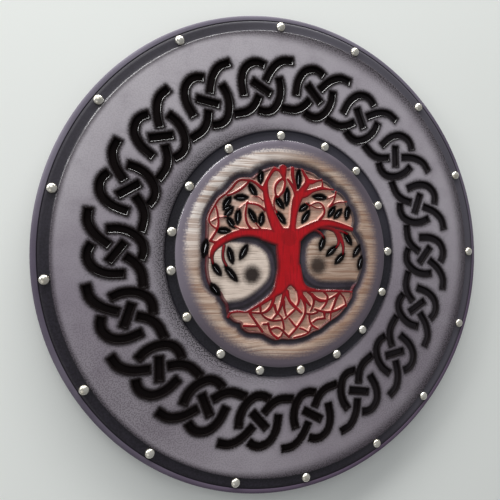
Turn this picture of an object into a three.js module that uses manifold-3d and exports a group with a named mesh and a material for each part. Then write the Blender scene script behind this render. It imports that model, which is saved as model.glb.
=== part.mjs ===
// Wooden round shield with a carved ring of knotwork, a carved tree in the middle and two rows of nails.
// Units are millimetres. The shield lies on its flat back, face up, and +Y is the tree's top.

import * as THREE from 'three';
import { mergeVertices } from 'three/addons/utils/BufferGeometryUtils.js';
import { ConvexGeometry } from 'three/addons/geometries/ConvexGeometry.js';
import Module from 'manifold-3d';

const wasm = await Module();
wasm.setup();

// Board
const shieldDiameter = 500;
const boardThickness = 20; // from the back to the carved face
const roundSides = 72;
const backChamfer = 1.5;

// Rounded outer shoulder and the sunk rim band inside it
const shoulderWidth = 6;
const shoulderDrop = 4.5;
const shoulderSteps = 3;
const rimBandWidth = 10.5;
const rimBandDepth = 1.5;
const stepSlope = 0.5; // how far each step's wall leans

// Round medallion in the middle and the sunk channel around it
const medallionDiameter = 238;
const channelWidth = 10.5;
const channelDepth = 1.8;

// Knotwork grooves
const knotCount = 18;
const firstKnotAngle = 9.5; // degrees anticlockwise from the top
const grooveWidth = 7.2;
const grooveDepth = 3.5;
const grooveWallLean = 1.1;
const grooveStep = 10; // length of one straight facet along a groove

// Tree
const treeRadius = 90;
const treeDrawnRadius = 90; // the radius at which the strand lists below are drawn
const crownDepth = 1.6; // pockets between the boughs
const rootDepth = 1.6; // pockets between the roots
const moatDepth = 2.6; // sloping hollow all round the tree
const moatFloorWidth = 3;
const moatSlopeWidth = 6;
const hollowSlopeWidth = 7; // slope of the wider moats in the hollows beside the trunk
const treeRimWidth = 1.6; // thin rim left standing round the crown and the roots
const leafDepth = 2.4;
const leafWidth = 7;
const twigStep = 11; // length of one straight facet along a bough, twig or root
const cutterRise = 4; // how far every cutting shape stands above the surface that it cuts

// Nails
const nailHeadDiameter = 9.5;
const nailHeadHeight = 3.4;
const nailSides = 8;
const nailShankWidth = 2.4;
const nailTipWidth = 0.8;
const nailShankLength = 11;
const nailGap = 0.3; // clearance between a nail and the wood
const rimNailAngles = [
  20.3, 44.5, 67, 89.5, 110.5, 134, 153, 175, 194, 217, 238.5, 264.5, 284.5, 307, 331.5, 358.5,
]; // degrees clockwise from the top
const centreNailAngles = [
  21.3, 42.5, 64.3, 89, 110.5, 133, 152, 173, 194.5, 216, 240, 262.5, 280, 302.5, 329, 357,
]; // degrees clockwise from the top

// Worked out from the sizes above
const shieldRadius = shieldDiameter / 2;
const faceZ = boardThickness;
const bandZ = faceZ - rimBandDepth;
const channelZ = faceZ - channelDepth;
const bandOuterRadius = shieldRadius - shoulderWidth;
const fieldOuterRadius = bandOuterRadius - rimBandWidth;
const medallionRadius = medallionDiameter / 2;
const fieldInnerRadius = medallionRadius + channelWidth;
const rimNailRadius = (bandOuterRadius + fieldOuterRadius) / 2;
const centreNailRadius = (fieldInnerRadius + medallionRadius) / 2;
const treeScale = treeRadius / treeDrawnRadius;

// One knot, drawn in hundredths: across, of one knot's share of the ring; up, of the field's width.
const knotStrokes = [
  [[-34, 37.5], [-31, 52], [-22, 63], [-9, 68], [2, 68], [11.5, 65]], // top hook
  [[10, 49.5], [24, 62], [40, 70], [57.5, 71.5]], // tail that leaves at the upper right
  [[-14, 50.5], [16.5, 36.3]], // bar across the middle
  [[-5.8, 35.6], [-18, 27], [-36, 22], [-63.4, 22.6]], // tail that leaves at the lower left
  [[33.8, 53], [36.8, 42.5], [33, 31], [20, 21.5], [3, 19], [-13.2, 21.6]], // bottom hook
];

// Strands of the tree: points on the centre line as [x, y, width], at the drawn radius.
const trunkAndBoughs = [
  [[2, 27, 26], [1.5, 10, 28], [1.5, -8, 24], [2, -22, 25], [2.5, -31, 31], [2.5, -39, 44]], // trunk
  [[-6, 14, 15], [-23, 16.5, 11.5], [-43, 21.5, 8.4], [-65, 15, 6], [-81, 3, 5]], // low left bough
  [[7, 14, 15], [18, 22.5, 9], [42, 32.7, 10], [62, 32, 7], [77, 26.5, 5]], // low right bough
  [[-7, 18, 13], [-17, 36, 8.5], [-23, 56, 6], [-24.5, 71, 6]], // left middle bough
  [[4, 18, 15], [6.4, 37, 8], [10, 52, 7], [16, 65, 9]], // right middle bough
  [[15, 63, 8], [25, 76, 6], [20, 88.5, 3]], // its upright fork
  [[24, 75.5, 5], [31, 78.5, 4], [41.5, 77.5, 3]], // its short fork
  [[15, 62, 6], [35, 69, 4.5], [54, 71.5, 3]], // its right fork
  [[12, 62, 4.5], [3, 75, 3.5], [-0.5, 78.5, 2.5]], // its left fork
  [[12, 64, 3.5], [7.8, 77, 4.5], [7, 89, 5]], // strand beside the top leaf
  [[-24, 70, 6], [-20, 79, 4], [-16, 87.5, 3.5]], // upright fork of the left middle bough
  [[-25, 69, 6], [-38, 75, 4], [-53, 74.5, 2.6], [-61, 66, 2]], // its left fork
];

const twigs = [
  [[-4, 90, 8], [-3.5, 77, 3.4], [-10.5, 61, 2.6]], // falling strand of the top loop
  [[-5, 78.5, 2.6], [-14, 69, 3], [-11, 59.5, 2.4]], // rising strand of the top loop
  [[-44.5, 57, 2.4], [-47.5, 40, 3.2], [-40, 23, 3.6]], // stem on the low left bough
  [[-45, 52, 2.4], [-34, 50.5, 2.6], [-24, 43, 3]], // arch to the left middle bough
  [[-34, 30, 2.4], [-27, 22, 3.4]], // spur below the paired leaves
  [[-66, 60, 2.4], [-54, 64, 3], [-43, 73, 2.4]], // inner strand at the upper left
  [[-78, 46, 2.4], [-75, 33, 2.6], [-84, 13, 3]], // strand along the left edge
  [[-84, 40, 2.4], [-85, 31, 2.4], [-78, 25.5, 2.4]], // its small return
  [[30, 53, 2.4], [39, 54.5, 3], [44, 47, 3], [38, 36, 3.4]], // crook on the low right bough
  [[57, 68, 2.8], [55.5, 59, 2.8], [48, 50, 2.6]], // strand at the upper right
];

const roots = [
  [[-12, -36, 8], [-28, -47, 4.4], [-46, -58, 3.4], [-60, -61, 3]], // brow at the left
  [[14, -34, 8], [36, -40, 3.4], [76, -42, 2.8]], // brow at the right
  [[2, -42, 4], [5, -54, 4], [16, -63, 3.6]],
  [[-3, -42, 4], [-9, -53, 4], [-17, -67, 3.4]],
  [[-9, -42, 4], [-20, -59, 4], [-42, -59.5, 3.4]],
  [[-42, -59, 3.4], [-28, -80, 3.6]],
  [[12, -42, 4], [18, -50, 4.4], [27, -56.5, 3]],
  [[13, -44, 4], [20.5, -59, 3.6], [15, -72, 3.2], [2, -88, 3]],
  [[25, -41, 3], [30.5, -51, 3.4], [26, -62, 3]],
  [[29, -44, 3.6], [43, -51, 3.6]],
  [[40, -41, 3], [47, -49, 3.2], [40, -59, 3]],
  [[59, -42, 3], [53, -61, 3]],
  [[61, -43, 3], [70, -57, 3]],
  [[31, -59.5, 3.2], [48, -63, 3.4], [70, -55.5, 3]],
  [[22, -64.5, 3], [34, -63.5, 3]],
  [[25, -66, 3], [26.5, -74, 3], [34, -81, 3]],
  [[30, -73, 2.6], [43, -66, 3.4]],
  [[12, -77.5, 3], [26, -83, 3]],
  [[8, -59.5, 3], [-3, -68.5, 3]],
  [[1, -68, 3], [9, -77, 3]],
  [[-30, -64, 3], [-20, -69.5, 3.2], [-7, -69, 3]],
  [[-10, -65, 3], [-4, -72, 3], [-3, -80, 2.6]],
  [[-52, -74, 3], [-34, -75, 3.2]],
  [[-27, -73, 3], [-20, -74, 3], [-13, -88, 3]],
  [[-18, -78.5, 3], [-9, -78.5, 3], [2, -89, 3]],
  [[-4, -54, 3], [-2, -64, 3]],
];

// Leaves: middle x, middle y, direction in degrees and length, at the drawn radius.
const crownLeaves = [
  [-29, 80, 85, 13], [-38.7, 64.7, 123, 14], [-50.7, 57.3, 3, 13], [-65.3, 52, 53, 12],
  [-63.5, 42.5, 48, 13], [-54, 38, 83, 14], [-37.7, 38, 118, 15], [-29, 35.3, 85, 13],
  [-61.3, 30.7, 125, 11], [-70, 22, 175, 13], [0, 60, 85, 16], [-8.3, 53.5, 128, 14],
  [-6.7, 38, 128, 14], [13.7, 78, 88, 18], [40, 61, 176, 15], [19.3, 48.7, 35, 13],
  [22, 40, 52, 14], [53.3, 46.7, 48, 13], [60.7, 42, 48, 13], [72.5, 44, 80, 13],
];
const hangingLeaves = [
  [-47, 4.5, 62, 13], [-62.5, 0, 105, 16], [-77.3, -15.5, 123, 13], [-61.5, -18.5, 130, 18],
  [-77, -35, 128, 12], [72.5, 16, 123, 14], [41, 12, 72, 14], [52.5, 4.5, 38, 13],
  [82, 4, 55, 13], [62.5, -5, 45, 14],
];

// Outline of the tree, anticlockwise, as [degrees from +X, radius] of its notches, at the drawn radius.
const outlineNotches = [
  [-20, 89], [-8, 90], [6, 89], [21, 86], [36, 90], [50, 89], [62, 88.5], [78, 90.5], [86, 89.5],
  [99, 90.5], [115, 88], [135, 87.5], [150, 89], [161, 91], [171, 87], [187, 88], [200, 88.5],
  [210, 87], [221, 87.5], [230, 92.5], [242, 91.5], [252, 89.5], [262, 91], [280, 91], [293, 91],
  [305, 89], [318, 93.5], [326, 93.5], [331, 88],
];
const lobeBulge = 0.06; // how far each lobe between two notches swells, as a share of its length

// Hollows beside the trunk: the edge of the tree that the soft moat on each side follows.
const hollowEdges = [
  [[-46, 16], [-30, 14], [-17, 3], [-12, -14], [-15, -30], [-29, -44], [-47, -54], [-65, -56.5]],
  [[38, 25], [27, 22], [17, 10], [15, -10], [20, -26], [34, -36], [56, -38.5], [79, -38]],
];

// Ground of the roots, the area inside their brows and their rim.
const rootGround = [
  [-58, -61], [-46, -58.5], [-28, -47.5], [-10, -38], [6, -36], [22, -38.5], [48, -41.5], [74, -42.5],
  [74, -55], [52, -70], [34, -81], [12, -88], [-12, -87], [-30, -82], [-46, -78], [-56, -70],
];

// A point of the tree's drawing at its real size.
const treePoint = (x, y) => new THREE.Vector2(x * treeScale, y * treeScale);

// A closed mesh with shared vertices becomes a solid.
function solid(geometry) {
  const bare = geometry.clone();
  bare.deleteAttribute('normal');
  bare.deleteAttribute('uv');
  const merged = mergeVertices(bare, 1e-4);
  return new wasm.Manifold(new wasm.Mesh({
    numProp: 3,
    vertProperties: new Float32Array(merged.attributes.position.array),
    triVerts: new Uint32Array(merged.index.array),
  }));
}

// A solid becomes a geometry again.
function geometryOf(body) {
  const mesh = body.getMesh();
  const geometry = new THREE.BufferGeometry();
  geometry.setAttribute('position', new THREE.BufferAttribute(mesh.vertProperties, 3));
  geometry.setIndex(new THREE.BufferAttribute(mesh.triVerts, 1));
  return geometry;
}

const union = (solids) => solids.reduce((whole, next) => whole.add(next));

// A lathe about the Z axis, from a profile of [radius, height] points.
function turned(profile, sides) {
  const points = profile.map(([radius, height]) => new THREE.Vector2(radius, height));
  return new THREE.LatheGeometry(points, sides).rotateX(Math.PI / 2);
}

// An upright prism over a flat outline.
function prism(outline, bottom, top) {
  const shape = new THREE.Shape(outline);
  const geometry = new THREE.ExtrudeGeometry(shape, { depth: top - bottom, bevelEnabled: false });
  return solid(geometry.translate(0, 0, bottom));
}

// An upright prism that reaches from well below the carving to well above it.
const standingPrism = (outline) => prism(outline, faceZ - 2 * cutterRise, faceZ + 2 * cutterRise);

// A cutting shape whose floor has the given outline and whose walls lean out on the way up.
function leaningCutter(outline, surface, depth, lean) {
  const shape = new THREE.Shape(outline);
  const geometry = new THREE.ExtrudeGeometry(shape, {
    depth: cutterRise, bevelThickness: depth, bevelSize: lean, bevelSegments: 1,
  });
  return solid(geometry.translate(0, 0, surface));
}

// The flat outline of a strand of changing width along a smooth line through a few points.
function strandOutline(points, widths, step) {
  const line = new THREE.CatmullRomCurve3(points.map((p) => new THREE.Vector3(p.x, p.y, 0)));
  const pieces = Math.max(points.length > 2 ? 3 : 1, Math.round(line.getLength() / step));
  const sides = [[], []];
  for (let i = 0; i <= pieces; i += 1) {
    const share = line.getUtoTmapping(i / pieces);
    const place = line.getPoint(share);
    const along = line.getTangent(share);
    const at = share * (widths.length - 1);
    const before = Math.min(Math.floor(at), widths.length - 2);
    const width = THREE.MathUtils.lerp(widths[before], widths[before + 1], at - before);
    const across = new THREE.Vector2(-along.y, along.x).multiplyScalar(width / 2);
    const middle = new THREE.Vector2(place.x, place.y);
    sides[0].push(middle.clone().sub(across));
    sides[1].unshift(middle.clone().add(across));
  }
  return sides.flat();
}

// The board before carving: back, edge, shoulder, rim band, field, channel and medallion.
function turnedBoard() {
  const profile = [[0, 0], [shieldRadius - backChamfer, 0], [shieldRadius, backChamfer]];
  for (let i = 0; i <= shoulderSteps; i += 1) {
    const turn = (i / shoulderSteps) * (Math.PI / 2);
    profile.push([
      bandOuterRadius + shoulderWidth * Math.cos(turn),
      bandZ - shoulderDrop * (1 - Math.sin(turn)),
    ]);
  }
  profile.push(
    [fieldOuterRadius + stepSlope, bandZ],
    [fieldOuterRadius, faceZ],
    [fieldInnerRadius, faceZ],
    [fieldInnerRadius - stepSlope, channelZ],
    [medallionRadius + stepSlope, channelZ],
    [medallionRadius, faceZ],
    [0, faceZ],
  );
  return solid(turned(profile, roundSides));
}

// The grooves of one knot, placed by its number on the ring.
function knotGrooves(number) {
  const pitch = (2 * Math.PI) / knotCount;
  const middle = Math.PI / 2 + THREE.MathUtils.degToRad(firstKnotAngle) - number * pitch;
  const onRing = ([across, up]) => {
    const radius = fieldInnerRadius + (up / 100) * (fieldOuterRadius - fieldInnerRadius);
    const angle = middle - (across / 100) * pitch;
    return new THREE.Vector2(radius * Math.cos(angle), radius * Math.sin(angle));
  };
  const floorWidth = grooveWidth - 2 * grooveWallLean;
  return knotStrokes.map((stroke) => {
    const points = stroke.map(onRing);
    const outline = strandOutline(points, points.map(() => floorWidth), grooveStep);
    return leaningCutter(outline, faceZ, grooveDepth, grooveWallLean);
  });
}

// Every strand of the tree as a standing prism, so that what is cut away leaves it.
function treeStrands(strands) {
  return strands.map((strand) => {
    const points = strand.map(([x, y]) => treePoint(x, y));
    const widths = strand.map(([, , width]) => width * treeScale);
    const outline = strandOutline(points, widths, twigStep);
    return standingPrism(outline);
  });
}

// The tree's outline, a lobe between each notch and the next, drawn in by an inset.
function treeOutline(inset) {
  const notches = outlineNotches.map(([degrees, radius]) => {
    const angle = THREE.MathUtils.degToRad(degrees);
    return new THREE.Vector2(Math.cos(angle), Math.sin(angle)).multiplyScalar(radius * treeScale - inset);
  });
  return notches.flatMap((notch, i) => {
    const next = notches[(i + 1) % notches.length];
    const swell = notch.distanceTo(next) * lobeBulge;
    const crest = notch.clone().add(next).multiplyScalar(0.5);
    return [notch, crest.setLength(crest.length() + swell)];
  });
}

// The sloping moat outside the tree's outline.
function outerMoat() {
  const floorEdge = treeRadius + moatFloorWidth;
  const profile = [
    [treeRadius - 2 * moatSlopeWidth, faceZ - moatDepth],
    [floorEdge, faceZ - moatDepth],
    [floorEdge + moatSlopeWidth, faceZ],
    [floorEdge + moatSlopeWidth, faceZ + cutterRise],
    [treeRadius - 2 * moatSlopeWidth, faceZ + cutterRise],
    [treeRadius - 2 * moatSlopeWidth, faceZ - moatDepth],
  ];
  return solid(turned(profile, roundSides)).subtract(standingPrism(treeOutline(0)));
}

// The soft moats in the hollows beside the trunk: half of each floor runs under the tree's edge.
function innerMoats() {
  return hollowEdges.map((line) => {
    const points = line.map(([x, y]) => treePoint(x, y));
    const outline = strandOutline(points, points.map(() => 2 * moatFloorWidth), twigStep);
    return leaningCutter(outline, faceZ, moatDepth, hollowSlopeWidth);
  });
}

// The ground of the crown: everything inside its rim and above the two low boughs.
function crownGround() {
  const inside = treeOutline(treeRimWidth);
  const [, lowLeft, lowRight] = trunkAndBoughs;
  const underEdge = [
    ...lowLeft.slice(1).reverse(),
    [0, 20],
    ...lowRight.slice(1),
    [2 * treeDrawnRadius, lowRight.at(-1)[1]],
    [2 * treeDrawnRadius, 2 * treeDrawnRadius],
    [-2 * treeDrawnRadius, 2 * treeDrawnRadius],
    [-2 * treeDrawnRadius, lowLeft.at(-1)[1]],
  ].map(([x, y]) => treePoint(x, y));
  return standingPrism(inside).intersect(standingPrism(underEdge));
}

// Everything of an area from a depth below the face upwards.
function pocket(area, depth) {
  const side = 2 * shieldRadius;
  const slab = new THREE.BoxGeometry(side, side, depth + cutterRise);
  return area.intersect(solid(slab.translate(0, 0, faceZ + (cutterRise - depth) / 2)));
}

// One leaf in a surface: a pointed oval pit with a keel along its middle.
function leafPit([x, y, degrees, length], surface) {
  const half = (length / 2) * treeScale;
  const side = (leafWidth / 2) * treeScale;
  const rim = [[-half, 0], [half, 0], [-0.4 * half, side], [0.4 * half, side], [-0.4 * half, -side], [0.4 * half, -side]];
  const corners = [
    ...rim.map((corner) => [...corner, surface]),
    ...rim.map((corner) => [...corner, faceZ + cutterRise]),
    [-0.6 * half, 0, surface - leafDepth],
    [0.6 * half, 0, surface - leafDepth],
  ].map((corner) => new THREE.Vector3(...corner));
  const geometry = new ConvexGeometry(corners).rotateZ(THREE.MathUtils.degToRad(degrees));
  const place = treePoint(x, y);
  return solid(geometry.translate(place.x, place.y, 0));
}

// A place on a circle, by degrees clockwise from the top.
function clockPlace(degrees, radius) {
  const angle = THREE.MathUtils.degToRad(90 - degrees);
  return [radius * Math.cos(angle), radius * Math.sin(angle), angle];
}

// A tapered square shank that hangs down from the origin, wider all round by a gap.
function squareShank(width, tip, length, above) {
  const corner = Math.SQRT2 / 2;
  const slope = (width - tip) / length;
  const top = width + slope * above;
  const geometry = new THREE.CylinderGeometry(top * corner, tip * corner, length + above, 4);
  return solid(geometry.rotateY(Math.PI / 4).rotateX(Math.PI / 2).translate(0, 0, (above - length) / 2));
}

// One round-headed nail, its head's flat underside at the origin and its shank below.
function nailSolid() {
  const radius = nailHeadDiameter / 2;
  const head = solid(turned([
    [0, 0],
    [radius, 0],
    [radius * 0.76, nailHeadHeight * 0.7],
    [0, nailHeadHeight],
  ], nailSides));
  return head.add(squareShank(nailShankWidth, nailTipWidth, nailShankLength, nailHeadHeight / 2));
}

// The square hole that a nail's shank was driven into, with the nail's gap round it.
function nailHole() {
  return squareShank(nailShankWidth + 2 * nailGap, nailTipWidth + 2 * nailGap, nailShankLength, cutterRise);
}

// Every nail of the shield: its name, place and turn.
function nailPlaces() {
  const row = (name, angles, radius, surface) => angles.map((degrees, i) => {
    const [x, y, turn] = clockPlace(degrees, radius);
    return { name: `${name}_${String(i + 1).padStart(2, '0')}`, x, y, turn, surface };
  });
  return [
    ...row('rim_nail', rimNailAngles, rimNailRadius, bandZ),
    ...row('centre_nail', centreNailAngles, centreNailRadius, channelZ),
  ];
}

// The carved board.
function carvedBoard(places) {
  const standing = union(treeStrands([...trunkAndBoughs, ...twigs, ...roots]));
  const crown = crownGround();
  const rootArea = standingPrism(rootGround.map(([x, y]) => treePoint(x, y)));
  const moats = union(innerMoats()).subtract(crown).subtract(rootArea);
  const sunk = union([pocket(crown, crownDepth), pocket(rootArea, rootDepth), moats]).subtract(standing);
  const leafPits = [
    ...crownLeaves.map((leaf) => leafPit(leaf, faceZ - crownDepth)),
    ...hangingLeaves.map((leaf) => leafPit(leaf, faceZ)),
  ];
  const knots = Array.from({ length: knotCount }, (_, number) => knotGrooves(number)).flat();
  const holes = places.map(({ x, y, turn, surface }) => (
    nailHole().rotate([0, 0, THREE.MathUtils.radToDeg(turn)]).translate([x, y, surface])
  ));
  return [sunk, outerMoat(), ...leafPits, ...knots, ...holes]
    .reduce((board, cutter) => board.subtract(cutter), turnedBoard());
}

const wood = new THREE.MeshStandardMaterial({ color: 0x8a8590, roughness: 0.45, metalness: 0 });
const nickel = new THREE.MeshStandardMaterial({ color: 0xd8d6cc, roughness: 0.2, metalness: 1 });

const shield = new THREE.Group();
const places = nailPlaces();

const board = new THREE.Mesh(geometryOf(carvedBoard(places)), wood);
board.name = 'board';
shield.add(board);

const nailGeometry = geometryOf(nailSolid());
for (const { name, x, y, turn, surface } of places) {
  const nail = new THREE.Mesh(nailGeometry, nickel.clone());
  nail.name = name;
  nail.position.set(x, y, surface + nailGap);
  nail.rotation.z = turn;
  shield.add(nail);
}

export default shield;
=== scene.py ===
# %% [markdown]
# A carved wooden round shield
#
# This notebook dresses a round shield for rendering. The real one is a single flat board of softwood.
# A maker turned two sunk bands in its face, carved a ring of interlaced knots and a tree, sprayed it
# with grey and black paint, painted the tree red, lacquered it and drove in thirty-two domed nails.
# The solid model gives the frame: every size below agrees with it, and every piece rides on it.

# %% Load the frame
import math

import bmesh
import bpy
import numpy as np
from mathutils import Matrix, Vector


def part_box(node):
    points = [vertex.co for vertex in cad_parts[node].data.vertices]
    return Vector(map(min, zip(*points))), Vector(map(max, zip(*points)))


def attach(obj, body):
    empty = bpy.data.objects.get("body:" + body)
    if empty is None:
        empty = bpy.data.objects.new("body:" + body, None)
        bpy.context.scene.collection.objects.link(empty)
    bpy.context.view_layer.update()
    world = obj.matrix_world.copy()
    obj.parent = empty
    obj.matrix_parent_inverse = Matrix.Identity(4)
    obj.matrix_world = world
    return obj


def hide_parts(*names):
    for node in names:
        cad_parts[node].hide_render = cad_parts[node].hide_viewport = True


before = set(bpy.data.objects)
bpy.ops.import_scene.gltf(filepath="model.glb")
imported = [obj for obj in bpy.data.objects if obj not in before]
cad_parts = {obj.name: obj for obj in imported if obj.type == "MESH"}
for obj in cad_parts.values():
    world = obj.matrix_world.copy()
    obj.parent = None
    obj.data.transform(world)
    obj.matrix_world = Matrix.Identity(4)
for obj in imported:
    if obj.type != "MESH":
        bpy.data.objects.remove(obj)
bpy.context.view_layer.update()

# %% [markdown]
# The sizes of the board
#
# Blender works in metres and carvers think in millimetres, so the sizes are written in millimetres
# and every vertex is scaled once, when the board is finished. The width and the thickness come from
# the frame, so that the finished board can't drift away from the solid.

# %% Sizes in millimetres
MM = 0.001
low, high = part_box("board")
SHIELD_RADIUS = (high.x - low.x) / 2 / MM
FACE = high.z / MM
SHOULDER_WIDTH = 6.0
SHOULDER_DROP = 4.5
BAND_DEPTH = 1.5
BAND_WIDTH = 10.5
CHANNEL_DEPTH = 1.8
CHANNEL_WIDTH = 10.5
MEDALLION_RADIUS = 119.0
STEP_LEAN = 0.5
BACK_CHAMFER = 1.5
BAND = FACE - BAND_DEPTH
CHANNEL = FACE - CHANNEL_DEPTH
BAND_OUTER = SHIELD_RADIUS - SHOULDER_WIDTH
FIELD_OUTER = BAND_OUTER - BAND_WIDTH
FIELD_INNER = MEDALLION_RADIUS + CHANNEL_WIDTH
TREE_SHEET_RADIUS = 101.0
print("radius", round(SHIELD_RADIUS, 2), "face at", round(FACE, 2))

# %% [markdown]
# Lines through a few points
#
# Everything carved here is a strand: a smooth line with a width. A Catmull-Rom curve passes through
# each point that the carver marked, so a handful of points describe a whole hook of the knot.

# %% Smooth lines


def smooth_line(points, step):
    """Evenly spaced places along a Catmull-Rom curve through the points, which may carry a width."""
    marks = np.array(points, float)
    if len(marks) > 2:
        ends = np.vstack([2 * marks[0] - marks[1], marks, 2 * marks[-1] - marks[-2]])
        share = np.linspace(0, 1, 24, endpoint=False)[:, None]
        spans = []
        for i in range(len(marks) - 1):
            a, b, c, d = ends[i:i + 4]
            spans.append(0.5 * (
                2 * b + (c - a) * share + (2 * a - 5 * b + 4 * c - d) * share ** 2
                + (3 * b - a - 3 * c + d) * share ** 3
            ))
        marks = np.vstack(spans + [marks[-1:]])
    reach = np.concatenate([[0], np.cumsum(np.linalg.norm(np.diff(marks[:, :2], axis=0), axis=1))])
    pieces = max(1, round(reach[-1] / step))
    stops = np.linspace(0, reach[-1], pieces + 1)
    return np.stack([np.interp(stops, reach, column) for column in marks.T], axis=1)


def smooth_step(start, end, value):
    """0 before start, 1 after end and a soft rise between them."""
    share = np.clip((value - start) / (end - start), 0, 1)
    return share * share * (3 - 2 * share)


def gap_to_strand(places, line, square):
    """Distance from each place to the edge of a strand [x, y, width], negative inside it."""
    nearest = np.full(len(places), np.inf)
    for start, end in zip(line[:-1], line[1:]):
        along = end[:2] - start[:2]
        share = np.clip((places - start[:2]) @ along / max(along @ along, 1e-9), 0, 1)
        away = np.hypot(*(places - start[:2] - share[:, None] * along).T)
        width = start[2] + (end[2] - start[2]) * share
        nearest = np.minimum(nearest, away - width / 2)
    if square:
        for tip, inner in ((line[0], line[1]), (line[-1], line[-2])):
            outward = (tip[:2] - inner[:2]) / np.linalg.norm(tip[:2] - inner[:2])
            past = (places - tip[:2]) @ outward
            across = np.abs((places - tip[:2]) @ (-outward[1], outward[0])) - tip[2] / 2
            corner = np.hypot(np.maximum(past, 0), np.maximum(across, 0))
            beyond = (past > 0) & (past < tip[2]) & (across < tip[2] / 2)
            nearest = np.where(beyond, np.maximum(nearest, corner), nearest)
            inside = (past <= 0) & (past > -tip[2] / 2) & (across < 0)
            nearest = np.where(inside, np.maximum(nearest, past), nearest)
    return nearest


def gap_to_strands(places, strands, reach, square=False):
    """Distance to the nearest of several strands, worked out only for places within their reach."""
    nearest = np.full(len(places), reach)
    for line in strands:
        low_corner = line[:, :2].min(axis=0) - reach - line[:, 2].max()
        high_corner = line[:, :2].max(axis=0) + reach + line[:, 2].max()
        close = np.all((places > low_corner) & (places < high_corner), axis=1)
        if close.any():
            nearest[close] = np.minimum(nearest[close], gap_to_strand(places[close], line, square))
    return nearest


# %% [markdown]
# The ring of knots
#
# One knot is five grooves: two hooks, two tails and a bar. Where one strand passes under another it
# stops short, and that small bridge of wood is what makes the interlace read. The knot is drawn in
# hundredths: across in shares of its step round the ring, and up in shares of the field's width.

# %% The knot's strokes
KNOT_COUNT = 18
FIRST_KNOT_ANGLE = 9.5
GROOVE_WIDTH = 7.2
GROOVE_STEP = 2.6
KNOT_STROKES = [
    [(-34, 37.5), (-31, 52), (-22, 63), (-9, 68), (2, 68), (11.5, 65)],
    [(10, 49.5), (24, 62), (40, 70), (57.5, 71.5)],
    [(-14, 50.5), (16.5, 36.3)],
    [(-5.8, 35.6), (-18, 27), (-36, 22), (-63.4, 22.6)],
    [(33.8, 53), (36.8, 42.5), (33, 31), (20, 21.5), (3, 19), (-13.2, 21.6)],
]


def on_ring(stroke, number):
    """A stroke's points on the real ring, as [x, y, width]."""
    pitch = 2 * math.pi / KNOT_COUNT
    middle = math.pi / 2 + math.radians(FIRST_KNOT_ANGLE) - number * pitch
    marks = []
    for across, up in stroke:
        radius = FIELD_INNER + up / 100 * (FIELD_OUTER - FIELD_INNER)
        angle = middle - across / 100 * pitch
        marks.append((radius * math.cos(angle), radius * math.sin(angle), GROOVE_WIDTH))
    return marks


knot_lines = [
    smooth_line(on_ring(stroke, number), GROOVE_STEP)
    for number in range(KNOT_COUNT)
    for stroke in KNOT_STROKES
]
print(len(knot_lines), "grooves")

# %% [markdown]
# The tree's drawing
#
# The tree is drawn at its real size, with x to the right and y up from the middle of the shield.
# Each strand is a short list of points with the strand's width there.

# %% Strands of the tree
LOW_LEFT_BOUGH = [
    (-6, 15, 16), (-22, 19, 13.5), (-31, 21, 10), (-40, 22, 8.6), (-50, 21.3, 8), (-60, 18.5, 7.6),
    (-70, 13.8, 7.2), (-77, 9, 6.6), (-81.5, 3, 4.4), (-83.8, -3, 2.2),
]
LOW_RIGHT_BOUGH = [
    (7, 15, 16), (18, 23, 11), (28, 28, 9.6), (38, 31.8, 9.2), (48, 33, 8), (58, 31.6, 7),
    (68, 29.3, 5.8), (77.5, 26.8, 4.6),
]
LEFT_BROW = [
    (-9, -38, 9), (-18, -45, 5.5), (-27, -50.3, 4.2), (-36, -55.2, 3.4), (-43, -58.8, 2.8), (-47, -60, 1.8),
]
RIGHT_BROW = [
    (12, -36, 9), (22, -39.2, 3.6), (35, -40.2, 2.8), (50, -40.8, 2.6), (64, -41.5, 2.6), (77, -42.5, 2),
]
TRUNK_AND_BOUGHS = [
    [(2, 27, 26), (1.5, 10, 28), (1.5, -8, 25), (2, -22, 26), (2.5, -29, 29), (3.5, -34, 30)],
    [(-2, -18, 18), (-4.5, -28, 17), (-8.5, -36, 13), (-14, -41.5, 7.5), (-20, -46.3, 5)],
    [(7, -16, 18), (9.5, -27, 17), (14.5, -34, 12), (22, -38, 6.5), (32, -39.8, 3.4)],
    LOW_LEFT_BOUGH,
    LOW_RIGHT_BOUGH,
    [(-7, 18, 15), (-13.5, 30, 12), (-18, 40, 10.5), (-21.2, 50, 9), (-23.8, 60, 7.2), (-24.8, 69, 7)],
    [(4, 18, 15), (6, 28, 8.4), (7.3, 38, 8), (8.6, 47, 9), (11, 56, 11), (14, 62, 11)],
    [(15, 63, 9), (19.5, 69.5, 7.5), (23.2, 75, 7), (22.8, 80, 5), (19.8, 85, 3.8), (17.5, 89, 3)],
    [(24, 77, 7), (29, 77, 6), (34, 78, 3.4), (40, 79, 2.4)],
    [(14, 62, 9), (21, 63.5, 8), (30, 67.4, 4.6), (40, 70.2, 4.4), (47, 70, 3), (54.5, 69.5, 2.2)],
    [(10.5, 62, 5.5), (8, 68, 4.6), (4.5, 73.5, 4), (0.8, 78.3, 3)],
    [(6.2, 89.5, 5), (6.4, 82, 4.6), (8.2, 75, 4), (9.8, 68.5, 3.4)],
    [(-25, 68, 7), (-23.2, 75, 4.2), (-20.5, 80, 4), (-16.8, 86, 4.5), (-14, 88.5, 5)],
    [
        (-25.5, 66, 6), (-31, 69.5, 4.2), (-35, 72.7, 3.6), (-40, 75, 3.2), (-46, 75.4, 2.8),
        (-52, 75.2, 2.8), (-56.5, 72.2, 3), (-61, 66.5, 3),
    ],
]
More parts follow.
